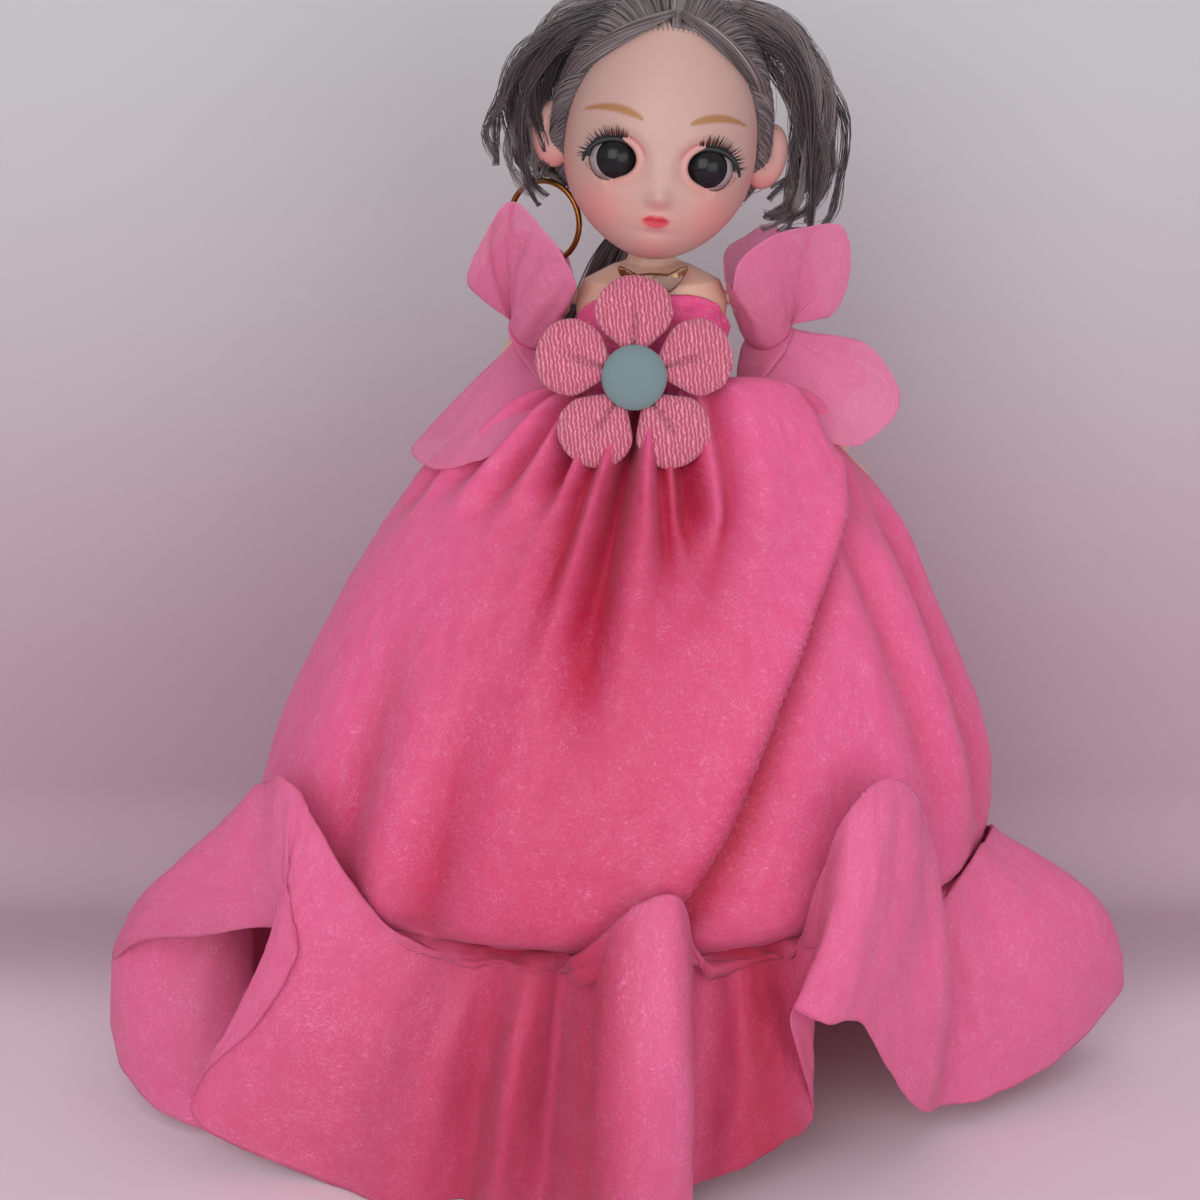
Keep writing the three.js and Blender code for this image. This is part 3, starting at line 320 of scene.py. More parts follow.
def cloth_piece(name, points, flat, thickness):
    """A sheet of cloth that closes round, from a grid of points: rows run down, and columns go anticlockwise
    seen from above. Its UV map is the flat cloth, in metres."""
    rows, columns = points.shape[0] - 1, points.shape[1]
    column, row = (grid.ravel() for grid in np.meshgrid(np.arange(columns), np.arange(rows)))
    corners = [(column, row), (column, row + 1), (column + 1, row + 1), (column + 1, row)]
    faces = np.stack([down * columns + across % columns for across, down in corners], axis=1)
    piece = new_piece(name, points, faces.tolist())
    size = np.array(flat) / (columns, rows)
    spots = np.stack([np.stack(corner, axis=1) * size for corner in corners], axis=1)
    layer = piece.data.uv_layers.new(name="Cloth")
    layer.data.foreach_set("uv", spots.astype(np.float32).ravel())
    apply_modifier(piece, "SOLIDIFY", thickness=thickness, offset=-1)
    return piece


def strand_piece(name, paths, radii, shades, sides=3):
    """Many thin tapered strands in one mesh. The paths are an array of strands, steps and places."""
    count, steps, _ = paths.shape
    ahead = unit(np.gradient(paths, axis=1))
    across = unit(np.cross(ahead, np.array([0.31, 0.88, 0.36])))
    over = np.cross(ahead, across)
    angles = 2 * math.pi * np.arange(sides) / sides
    radii = np.broadcast_to(radii, (count, steps))[..., None, None]
    ring = np.cos(angles)[:, None] * across[:, :, None] + np.sin(angles)[:, None] * over[:, :, None]
    places = paths[:, :, None] + radii * ring
    base = (np.arange(count * steps) * sides).reshape(count, steps)
    quads = []
    for side in range(sides):
        nearer, following = base[:, :-1] + side, base[:, :-1] + (side + 1) % sides
        quads.append(np.stack((nearer, following, following + sides, nearer + sides), axis=-1).reshape(-1, 4))
    faces = np.concatenate(quads).tolist()
    faces += [[start + side for side in reversed(range(sides))] for start in base[:, 0]]
    faces += [[start + side for side in range(sides)] for start in base[:, -1]]
    piece = new_piece(name, places, faces)
    give_attribute(piece, "shade", np.repeat(shades, steps * sides))
    return piece


def add_ball(name, centre, radii, segments=48, rings=24):
    """A ball added at its place and scaled to three radii."""
    piece = add_primitive("uv_sphere", name, segments=segments, ring_count=rings, radius=1)
    move_places(piece, places_of(piece) * np.array(radii) + np.array(centre))
    piece.data.shade_smooth()
    return piece


def combine(piece, other, operation):
    """Joins another solid to a piece or cuts it away, and removes that solid."""
    apply_modifier(piece, "BOOLEAN", object=other, operation=operation, solver="EXACT")
    bpy.data.objects.remove(other)


def recalculate(piece):
    """Merges doubles and points the faces outwards."""
    edit_mesh(
        piece, (bpy.ops.mesh.remove_doubles, {"threshold": 1e-6}),
        (bpy.ops.mesh.normals_make_consistent, {"inside": False}),
    )


# Materials. The scale of a noise texture counts its grains per metre, so that 1000 gives one each millimetre

# A wave texture of this scale has one band per metre
ONE_BAND = 0.314


def cloudy_tone(tree, place, scale, detail, colour, other):
    """A tone that drifts between two colours."""
    cloud = add_node(tree, "TexNoise", {"Vector": place, "Scale": scale, "Detail": detail})
    return add_node(tree, "Mix", {0: cloud, 6: colour, 7: other}, data_type="RGBA")


def grain_relief(tree, place, scale, strength, distance):
    """The relief of a fine, even grain."""
    grain = add_node(tree, "TexNoise", {"Vector": place, "Scale": scale, "Detail": 2})
    return add_node(tree, "Bump", {"Strength": strength, "Distance": distance, "Height": grain})


def soft_vinyl(settings):
    """Soft vinyl, moulded and matt. Sprayed blush fades into it, and lips and brows are painted on."""
    material, tree = new_material("soft_vinyl")
    colour = settings.vinyl
    paints = {"blush": settings.blush, "lid": tint("C9686F"), "brow": settings.brows, "lips": settings.lips}
    for name, paint in paints.items():
        mask = add_node(tree, "Attribute", {}, attribute_name=name).outputs["Fac"]
        colour = add_node(tree, "Mix", {0: mask, 6: colour, 7: paint}, data_type="RGBA")
    place = add_node(tree, "TexCoord", {}).outputs["Object"]
    bump = grain_relief(tree, place, 2600, 0.12, 0.03 * MM)
    blotch = add_node(tree, "TexNoise", {"Vector": place, "Scale": 60, "Detail": 1})
    rough = add_node(tree, "MapRange", {"Value": blotch, "To Min": 0.42, "To Max": 0.54})
    return close_material(material, add_node(tree, "BsdfPrincipled", {
        "Base Color": colour, "Roughness": rough, "IOR": 1.46, "Normal": bump, "Subsurface Weight": 0.12,
        "Subsurface Scale": 2 * MM, "Subsurface Radius": (1.0, 0.5, 0.35),
    }))


def moulded_plastic(name, colour, roughness):
    """Moulded plastic with a faint orange-peel skin and a soft gloss."""
    material, tree = new_material(name)
    place = add_node(tree, "TexCoord", {}).outputs["Object"]
    mix = cloudy_tone(tree, place, 90, 2, colour, [0.86 * value for value in colour])
    bump = grain_relief(tree, place, 1500, 0.15, 0.03 * MM)
    return close_material(material, add_node(tree, "BsdfPrincipled", {
        "Base Color": mix, "Roughness": roughness, "IOR": 1.49, "Normal": bump,
    }))


def hair_fibre(settings):
    """Synthetic hair fibre with a satin gloss: each strand has a tone of its own, and the combed hair carries
    painted light on its raised lanes and painted shade in its grooves and parting.
    """
    material, tree = new_material("hair_fibre")
    shade = add_node(tree, "Attribute", {}, attribute_name="shade").outputs["Fac"]
    dark = add_node(tree, "MapRange", {"Value": shade, "From Max": 0.5})
    light = add_node(tree, "MapRange", {"Value": shade, "From Min": 0.5})
    low = add_node(tree, "Mix", {0: dark, 6: settings.hair_dark, 7: settings.hair}, data_type="RGBA")
    high = add_node(tree, "Mix", {0: light, 6: low, 7: settings.hair_light}, data_type="RGBA")
    return close_material(material, add_node(tree, "BsdfPrincipled", {
        "Base Color": high, "Roughness": 0.38, "IOR": 1.55, "Sheen Weight": 0.15, "Sheen Roughness": 0.4,
    }))


def organza(settings, name, opacity, glow, paleness):
    """Crinkle organza: thin, slightly stiff polyester with curled fibres. The fibres are painted in the
    highlight colour, in random patches, as painted highlights where they catch the light. Where the cloth is
    gathered, folded or tucked under, a painted shade turns the dye deeper red and dims those highlights; in
    part this is the cloth overlapping itself.
    The glow is the share of light that shines through, and the paleness is how far the dye fades towards the
    highlight colour, a painted glow for thin cloth that light shines through."""
    material, tree = new_material(name)
    flat = add_node(tree, "TexCoord", {}).outputs["UV"]
    wide = add_node(tree, "Mapping", {"Vector": flat, "Scale": (1.0, 1.8, 1.0)})
    lines = []
    for scale, offset in ((520, 0.0), (900, 3.1)):
        curl = add_node(tree, "TexNoise", {
            "Vector": wide, "W": offset, "Scale": scale, "Detail": 0.6, "Distortion": 2.2,
        }, noise_dimensions="4D")
        centred = add_node(tree, "Math", {0: curl, 1: 0.5}, operation="SUBTRACT")
        apart = add_node(tree, "Math", {0: centred}, operation="ABSOLUTE")
        lines.append(add_node(tree, "MapRange", {"Value": apart, "From Max": 0.05, "To Min": 1, "To Max": 0}))
    fibres = add_node(tree, "Math", {0: lines[0], 1: lines[1]}, operation="MAXIMUM")
    patch = add_node(tree, "TexNoise", {"Vector": flat, "Scale": 160, "Detail": 3, "Roughness": 0.7})
    strength = add_node(tree, "MapRange", {
        "Value": patch, "From Min": 0.3, "From Max": 0.7, "To Min": 0.1, "To Max": 0.8,
    })
    # Painted shade, partly the cloth overlapping itself: it deepens the dye and dims the painted highlights
    layers_and_shade = add_node(tree, "Attribute", {}, attribute_name="layers_and_shade").outputs["Fac"]
    dulled = add_node(tree, "MapRange", {"Value": layers_and_shade, "To Min": 1.0, "To Max": 0.25})
    seen = add_node(tree, "Math", {0: fibres, 1: dulled}, operation="MULTIPLY")
    lit = add_node(tree, "Math", {0: seen, 1: strength}, operation="MULTIPLY")
    # Painted glow: the dye of thin cloth fades towards the highlight colour
    dyes = zip(settings.organza, settings.organza_highlight)
    pale = [(1 - paleness) * dye + paleness * light for dye, light in dyes]
    # Painted shade turns the dye deeper red
    base = add_node(tree, "Mix", {0: layers_and_shade, 6: pale, 7: settings.organza_overlap_and_shade}, data_type="RGBA")
    # Painted highlights: the fibres take the highlight colour
    colour = add_node(tree, "Mix", {0: lit, 6: base, 7: settings.organza_highlight}, data_type="RGBA")
    ripple = add_node(tree, "Mapping", {"Vector": flat, "Scale": (1.0, 2.4, 1.0)})
    crinkle = add_node(tree, "TexNoise", {
        "Vector": ripple, "Scale": 260, "Detail": 4, "Roughness": 0.65, "Distortion": 1.2,
    })
    relief = add_node(tree, "Bump", {"Strength": 0.5, "Distance": 0.4 * MM, "Height": crinkle})
    raised = add_node(tree, "Bump", {
        "Strength": 0.6, "Distance": 0.12 * MM, "Height": fibres, "Normal": relief,
    })
    shader = add_node(tree, "BsdfPrincipled", {
        "Base Color": colour, "Roughness": 0.45, "IOR": 1.5, "Normal": raised,
        "Sheen Weight": 0.25, "Sheen Roughness": 0.35, "Sheen Tint": (1.0, 0.72, 0.86),
    })
    through = add_node(tree, "BsdfTranslucent", {"Color": colour, "Normal": raised})
    cloth = add_node(tree, "MixShader", {0: glow, 1: shader, 2: through})
    if opacity < 1:
        clear = add_node(tree, "BsdfTransparent", {})
        density = add_node(tree, "MapRange", {
            "Value": lit, "From Max": 0.8, "To Min": opacity, "To Max": min(1.0, opacity + 0.25),
        })
        cloth = add_node(tree, "MixShader", {0: density, 1: clear, 2: cloth})
    return close_material(material, cloth)


def seersucker(settings):
    """Seersucker: cotton woven with slack threads, so that ribs 1.1 mm apart pucker along one direction."""
    material, tree = new_material("seersucker")
    place = add_node(tree, "TexCoord", {}).outputs["Object"]
    turned = add_node(tree, "Mapping", {"Vector": place, "Rotation": (0, math.radians(6), 0)})
    rib = add_node(tree, "TexWave", {
        "Vector": turned, "Scale": ONE_BAND / (1.1 * MM), "Distortion": 5.0, "Detail": 3, "Detail Scale": 2.2,
    }, bands_direction="X").outputs["Fac"]
    short = add_node(tree, "Mapping", {"Vector": place, "Scale": (0.45, 0.45, 1)})
    pucker = add_node(tree, "TexNoise", {"Vector": short, "Scale": 1500, "Detail": 2})
    weave = add_node(tree, "TexNoise", {"Vector": place, "Scale": 5200, "Detail": 1})
    # Painted light and shade: the raised ribs are lighter and the hollows between them darker
    sharp = add_node(tree, "MapRange", {"Value": rib, "From Min": 0.35, "From Max": 0.95})
    mix = add_node(tree, "Mix", {0: sharp, 6: settings.petals, 7: settings.lit_petal_ribs}, data_type="RGBA")
    height = add_node(tree, "Math", {0: pucker, 1: 0.45, 2: rib}, operation="MULTIPLY_ADD")
    coarse = add_node(tree, "Bump", {"Strength": 0.8, "Distance": 0.4 * MM, "Height": height})
    fine = add_node(tree, "Bump", {"Strength": 0.3, "Distance": 0.05 * MM, "Height": weave, "Normal": coarse})
    return close_material(material, add_node(tree, "BsdfPrincipled", {
        "Base Color": mix, "Roughness": 0.85, "Sheen Weight": 0.3, "Sheen Roughness": 0.5, "Normal": fine,
    }))


def woven_cloth(name, colour, thread, roughness=0.85):
    """Plain weave: two sets of threads that cross, drawn at their real spacing."""
    material, tree = new_material(name)
    place = add_node(tree, "TexCoord", {}).outputs["Object"]
    sets = [
        add_node(tree, "TexWave", {
            "Vector": place, "Scale": ONE_BAND / thread, "Distortion": 0.6, "Detail": 1, "Detail Scale": 2,
        }, bands_direction=way).outputs["Fac"]
        for way in ("X", "Z")
    ]
    crossed = add_node(tree, "Math", {0: sets[0], 1: sets[1]}, operation="MULTIPLY")
    darker = [0.72 * value for value in colour]
    mix = add_node(tree, "Mix", {0: crossed, 6: darker, 7: colour}, data_type="RGBA")
    bump = add_node(tree, "Bump", {"Strength": 0.5, "Distance": 0.2 * thread, "Height": crossed})
    return close_material(material, add_node(tree, "BsdfPrincipled", {
        "Base Color": mix, "Roughness": roughness, "Sheen Weight": 0.2, "Normal": bump,
    }))


def glossy_acrylic(name, colour, roughness):
    """Cast acrylic, polished, under a clear dome."""
    material, tree = new_material(name)
    place = add_node(tree, "TexCoord", {}).outputs["Object"]
    mix = cloudy_tone(tree, place, 500, 2, colour, [min(1.0, 1.5 * value + 0.01) for value in colour])
    return close_material(material, add_node(tree, "BsdfPrincipled", {
        "Base Color": mix, "Roughness": roughness, "IOR": 1.49, "Specular IOR Level": 0.25,
    }))


def enamel(name, colour, accent):
    """Glossy brown enamel over cast metal, rubbed through to dull gold in patches."""
    material, tree = new_material(name)
    place = add_node(tree, "TexCoord", {}).outputs["Object"]
    patch = add_node(tree, "TexNoise", {"Vector": place, "Scale": 330, "Detail": 3, "Roughness": 0.6})
    worn = add_node(tree, "MapRange", {"Value": patch, "From Min": 0.56, "From Max": 0.7})
    mix = add_node(tree, "Mix", {0: worn, 6: colour, 7: accent}, data_type="RGBA")
    bump = add_node(tree, "Bump", {"Strength": 0.3, "Distance": 0.1 * MM, "Height": patch})
    return close_material(material, add_node(tree, "BsdfPrincipled", {
        "Base Color": mix, "Metallic": worn, "Roughness": 0.22, "Coat Weight": 0.5, "Normal": bump,
    }))


def plated_metal(name, colour, roughness):
    """Plated steel wire, drawn and polished, with fine scuffs."""
    material, tree = new_material(name)
    place = add_node(tree, "TexCoord", {}).outputs["Object"]
    scuff = add_node(tree, "TexNoise", {"Vector": place, "Scale": 700, "Detail": 3})
    rough = add_node(tree, "MapRange", {"Value": scuff, "To Min": roughness * 0.7, "To Max": roughness * 1.4})
    return close_material(material, add_node(tree, "BsdfPrincipled", {
        "Base Color": colour, "Metallic": 1.0, "Roughness": rough,
    }))


def lash_fibre(name, colour):
    """Stiff lash fibre with a dull gloss."""
    material, tree = new_material(name)
    place = add_node(tree, "TexCoord", {}).outputs["Object"]
    mix = cloudy_tone(tree, place, 900, 1, colour, [value * 1.8 + 0.004 for value in colour])
    return close_material(material, add_node(tree, "BsdfPrincipled", {"Base Color": mix, "Roughness": 0.5}))


# Head

def head_points(ways, growth):
    """Places on the head, in millimetres from its pivot, for ways from its middle."""
    x, y, z = ways.T
    low = np.maximum(0, -z) ** 2
    front = np.where(y < 0, 1 + CHIN_SHARE * low, 1)
    half_height = np.where(z < 0, HEAD_LOWER, HEAD_UPPER) + growth
    out = x * (HEAD_HALF_WIDTH + growth) * (1 + CHEEK_SHARE * low * (1 - np.sqrt(low)))
    back = y * (HEAD_HALF_DEPTH + growth) * front
    return np.column_stack((out, HEAD_BACK + back, HEAD_RISE + z * half_height + SHEAR_SHARE * back * low))


def face_back(x, z):
    """How far back the bare face lies at a place of its front."""
    across = x / HEAD_HALF_WIDTH
    up = (z - HEAD_RISE) / (HEAD_LOWER if z < HEAD_RISE else HEAD_UPPER)
    return HEAD_BACK - HEAD_HALF_DEPTH * math.sqrt(1 - across ** 2 - up ** 2)


def eye_frame(side):
    """The middle of an eye, its outward and forward directions, in millimetres from the head's pivot."""
    centre = np.array([side * EYE_OUT, face_back(EYE_OUT, EYE_RISE) + EYE_SUNK, EYE_RISE])
    forward = np.array([side * math.sin(EYE_YAW), -math.cos(EYE_YAW), 0.0])
    outward = np.array([side * math.cos(EYE_YAW), math.sin(EYE_YAW), 0.0])
    return centre, outward, forward


def on_head(places):
    """Places in millimetres from the head's pivot as places of the doll, in metres."""
    places = np.asarray(places, float)
    flat = places.reshape(-1, 3) @ np.array(HEAD_FRAME.to_3x3()).T + np.array(HEAD_FRAME.translation)
    return flat.reshape(places.shape)


# Forms of the face's front. Each row: how far it stands out, then its middle and width across and upwards
FACE_FORMS = (
    (0.8, -13.5, 7.0, 5.0, 6.0), (0.8, 13.5, 7.0, 5.0, 6.0),  # cheeks
    (2.3, 0, 2.5, 9.2, 2.4), (0.8, 0, 3.0, 13.5, 4.5),  # tip and bridge of the nose
    (0.55, -2.2, 1.3, 8.4, 1.4), (0.55, 2.2, 1.3, 8.4, 1.4),  # nostrils
    (0.9, 0, 5.0, -3.2, 3.6), (-0.45, 0, 4.0, -0.2, 1.1),  # chin and the dip over it
    (0.8, 0, 5.5, 3.0, 3.4), (-0.3, 0, 0.9, 5.6, 1.1),  # mouth and the groove over it
    (0.9, 0, 2.1, 1.9, 1.0), (-0.55, 0, 3.0, 3.0, 0.42),  # lower lip and the line between the lips
)
# Sprayed blush in the same form: cheeks, chin and under the nose
BLUSHES = (
    (0.8, -16.0, 8.5, 4.5, 7.5), (0.8, 16.0, 8.5, 4.5, 7.5), (0.6, 0, 6.0, -5.5, 4.5),
    (0.5, 0, 2.6, 7.3, 1.2),
)
MOUTH_RISE = 3.0
BROW_OUT, BROW_RISE, BROW_HALF_LENGTH = 13.7, 28.4, 7.7


def swells(x, z, rows):
    """The sum of round swells at places of the face's front."""
    return sum(out * hump(x, across, width) * hump(z, up, height) for out, across, width, up, height in rows)


def carve_face(places):
    """Moves the smooth head's places into eye sockets, nose, lips, cheeks, chin and ears, and paints them."""
    x, y, z = places.T.copy()
    front = ease(2.0, 14.0, -y)
    blush, lid = np.zeros((2, len(places)))
    for side in (1, -1):
        centre, outward, forward = eye_frame(side)
        offset = places - centre
        along, across, up = offset @ forward, offset @ outward, offset[:, 2]
        ring = np.hypot(across / EYE_OPENING[0], up / EYE_OPENING[1])
        skin = ease(3.4, 5.4, along)
        sink = 1.5 * (1 - ease(1.0, 1.95, ring)) * skin
        rim = 0.45 * hump(ring, 1.13, 0.1) * skin
        crease = 0.3 * hump(ring, 1.4, 0.08) * ease(0.5, 2.5, up) * skin
        places += forward * (rim - sink - crease)[:, None]
        lid = np.maximum(lid, 0.75 * hump(ring, 1.42, 0.075) * ease(0.8, 3.2, up) * skin)
        blush += 0.35 * hump(ring, 1.2, 0.28) * skin
        ear_x, ear_z = (x - side * EAR_OUT) / EAR_HALF_WIDTH, (z - EAR_RISE) / EAR_HALF_HEIGHT
        ear = ease(EAR_OUT - EAR_HALF_WIDTH - 1.5, EAR_OUT - EAR_HALF_WIDTH + 1.5, side * x)
        hollow = np.exp(-((ear_x + side * 0.12) / 0.5) ** 2 - (ear_z / 0.52) ** 2)
        fold = np.exp(-((ear_x + side * 0.5) / 0.3) ** 2 - ((ear_z + 0.05) / 0.25) ** 2)
        facing = ease(EAR_BACK + 1.0, EAR_BACK - 1.0, y)
        places[:, 1] += ear * facing * (2.0 * hollow - 1.2 * fold)
        blush += ear * (0.3 + 0.5 * ease(0.0, -0.9, ear_z))
    bow = 0.45 * hump(np.abs(x), 1.5, 1.1)
    out = swells(x, z, FACE_FORMS) + 0.8 * hump(x, 0, 2.9) * hump(z, 3.9 + bow, 0.85)
    places[:, 1] -= front * out
    places[:, 0] -= front * 0.5 * np.sign(x) * hump(np.abs(x), 22, 6) * hump(z, 5, 10)
    half_lip = np.where(z > MOUTH_RISE, 1.75 + 0.55 * bow - 0.2 * hump(x, 0, 0.5), 1.55)
    lips = ease(1.12, 0.72, np.hypot(x / 3.7, (z - MOUTH_RISE) / half_lip)) * front
    lip_glow = ease(1.9, 0.9, np.hypot(x / 3.9, (z - MOUTH_RISE) / 2.1)) * front
    blush += swells(x, z, BLUSHES) + 0.35 * lip_glow
    across = (np.abs(x) - BROW_OUT) / BROW_HALF_LENGTH
    arch = BROW_RISE + 1.9 * (1 - across ** 2)
    half_brow = 1.15 * np.sqrt(np.clip(1 - across ** 2, 0, 1)) * (1 - 0.35 * across) + 0.02
    brow = ease(1.25, 0.45, np.abs(z - arch) / half_brow) * (np.abs(across) < 1) * front
    return places, {"blush": np.clip(blush, 0, 0.75), "lid": lid, "lips": 0.92 * lips, "brow": 0.9 * brow}


class DOLL_OT_head(bpy.types.Operator):
    """Models the vinyl head with its ears, eye sockets, nose and lips"""

    bl_idname = "doll.head"
    bl_label = "Head"

    def execute(self, context):
        head = add_primitive("cube", "soft_head", size=2)
        edit_mesh(head, (bpy.ops.mesh.subdivide, {"number_cuts": 27}))
        move_places(head, head_points(unit(places_of(head)), 0))
        for side in (1, -1):
            ear = add_ball("ear", (0, 0, 0), (EAR_HALF_WIDTH, EAR_HALF_DEPTH, EAR_HALF_HEIGHT))
            ear_place = Matrix.Translation((side * EAR_OUT, EAR_BACK, EAR_RISE))
            transform(ear, turned(side * 8, "Y"), turned(side * 14, "Z"), ear_place)
            combine(head, ear, "UNION")
        for side in (1, -1):
            centre, _, forward = eye_frame(side)
            combine(head, add_ball("room", centre, (EYE_RADIUS + EYE_ROOM,) * 3), "DIFFERENCE")
            opening = add_primitive("cylinder", "opening", vertices=64, radius=1, depth=EYE_RADIUS * 2)
            transform(
                opening, Matrix.Diagonal((*EYE_OPENING, 1, 1)), turned(90, "X"),
                Matrix.Rotation(side * EYE_YAW, 4, "Z"), Matrix.Translation(centre + forward * EYE_RADIUS),
            )
            combine(head, opening, "DIFFERENCE")
        recess = add_primitive(
            "cylinder", "recess", vertices=64, radius=NECK_RECESS_RADIUS, depth=NECK_RECESS_DEPTH,
        )
        transform(recess, Matrix.Translation((0, 0, NECK_RECESS_TOP - NECK_RECESS_DEPTH / 2)))
        combine(head, recess, "DIFFERENCE")
        apply_modifier(head, "REMESH", mode="VOXEL", voxel_size=0.46)
        apply_modifier(head, "SMOOTH", factor=0.5, iterations=5)
        places, paints = carve_face(places_of(head))
        move_places(head, on_head(places))
        for name, values in paints.items():
            give_attribute(head, name, values)
        head.data.shade_smooth()
        dress(head, soft_vinyl(context.scene.doll), "head_vinyl", "head", "head_shell")
        return {"FINISHED"}


class DOLL_OT_eyes(bpy.types.Operator):
    """Models the domed eyes, their lash strips and the fine lower lashes"""

    bl_idname = "doll.eyes"
    bl_label = "Eyes and lashes"

    def execute(self, context):
        black = glossy_acrylic("black_acrylic", tint("070507"), 0.2)
        white = glossy_acrylic("grey_acrylic", tint("93888B"), 0.3)
        upper = lash_fibre("black_lash_fibre", tint("0A070A"))
        lower = lash_fibre("brown_lash_fibre", tint("6B4436"))
        for name, side in SIDES:
            centre = eye_frame(side)[0]
            eye = add_ball(f"{name}_domed_eye", (0, 0, 0), (EYE_RADIUS,) * 3, segments=96, rings=48)
            transform(eye, turned(90, "X"), Matrix.Translation(centre))
            dress(eye, black, "eye_acrylic", None, f"{name}_eye")
            eye.data.materials.append(white)
            reach = math.sqrt(1 - (IRIS_RADIUS / EYE_RADIUS) ** 2)
            for face in eye.data.polygons:
                way = (np.array(face.center) - centre) / EYE_RADIUS
                face.material_index = 0 if -way[1] > reach else 1
            eye.data.transform(HEAD_FRAME)
            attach(eye, "head")
            self.lashes(name, side, upper, lower)
        return {"FINISHED"}

    def lashes(self, name, side, upper, lower):
        centre, outward, forward = eye_frame(side)
        up = np.array([0.0, 0.0, 1.0])
        draws = np.random.default_rng(11 + side)

        def rim(angle, share=1.0, ahead=5.15):
            wide, tall = EYE_OPENING
            flat = outward * wide * share * math.cos(angle) + up * tall * share * math.sin(angle)
            return centre + flat + forward * ahead

        paths, radii = [], []
        for place in np.linspace(0, 1, UPPER_LASHES):
            angle = math.radians(2 + 160 * place)
            length = 3.5 - 1.5 * place + draws.uniform(-0.8, 0.6)
            lean = math.radians(24 * (1 - place) + draws.uniform(-9, 9))
            way = outward * math.cos(angle - lean) + up * math.sin(angle - lean)
            steps = np.linspace(0, 1, 7)[:, None]
            bend = forward * (0.9 * steps + 0.7 * steps ** 2) + up * 0.9 * steps ** 2
            paths.append(rim(angle, 1.04) + way * length * steps + bend)
            radii.append(0.24 * (1 - 0.85 * steps[:, 0]))
        band = np.array([rim(math.radians(angle), 1.07) for angle in np.linspace(-12, 166, 42)])
        band += np.linspace(1.0, 0, 42)[:, None] ** 3 * (outward * 1.9 - up * 0.5)
        radii = np.array(radii) * MM
        fan = strand_piece(f"{name}_lash_hairs", on_head(paths), radii, np.zeros(len(paths)), 4)
        dress(fan, upper, "lash_fibre", "head", f"{name}_eyelash")
        thick = 0.78 * np.sin(np.linspace(0.3, 2.95, len(band))) ** 0.7
        strip = strand_piece(f"{name}_lash_strip", on_head(band[None]), thick * MM, np.zeros(1), 8)
        dress(strip, upper, "lash_fibre", "head")
        short = []
        for place in np.linspace(0, 1, LOWER_LASHES):
            angle = math.radians(-18 - 62 * place)
            way = outward * math.cos(angle) + up * math.sin(angle)
            steps = np.linspace(0, 1, 5)[:, None]
            short.append(rim(angle, 1.04, 4.9) + way * (1.7 - 0.7 * place) * steps + forward * 0.35 * steps)
        under = strand_piece(f"{name}_lower_lashes", on_head(short), 0.09 * MM, np.zeros(len(short)), 4)
        dress(under, lower, "lash_fibre", "head")


# Hair

def hairline(turn):
    """Ways from the head's middle to its hairline: 0 is the forehead, and half a turn is the nape."""
    rise = np.cos(turn)[..., None]
    ways = np.where(rise >= 0, rise * HAIRLINE_TOP, -rise * HAIRLINE_NAPE)
    return unit(ways + np.sin(turn)[..., None] * np.array([1.0, 0.0, 0.0]))


def combed(turn, share, growth):
    """Places of hair that is combed back from the hairline to where it is gathered at the nape."""
    start = hairline(turn)
    swing = np.arccos(np.clip(start @ GATHER_WAY, -1, 1))[..., None]
    share = share[..., None]
    ways = (np.sin((1 - share) * swing) * start + np.sin(share * swing) * GATHER_WAY) / np.sin(swing)
    return head_points(ways.reshape(-1, 3), np.asarray(growth).ravel()).reshape(ways.shape)


def taper(start, end, steps):
    """Shares of a strand's radius on its way from root to tip."""
    return np.sin(np.linspace(start, end, steps)) ** 0.5


def hair_piece(name, paths, radii, shades, fibre, *replaced):
    """Strands of hair along paths in millimetres from the head's pivot, with their finish."""
    piece = strand_piece(name, on_head(paths), radii, shades)
    dress(piece, fibre, "hair_fibre", "head", *replaced)


def hair_rise(share):
    """How far the combed hair lies over the scalp, from the hairline to the nape."""
    return 0.35 + HAIR_THICKNESS * ease(0.0, 0.16, share) + 0.8 * np.sin(math.pi * np.clip(share, 0, 1))


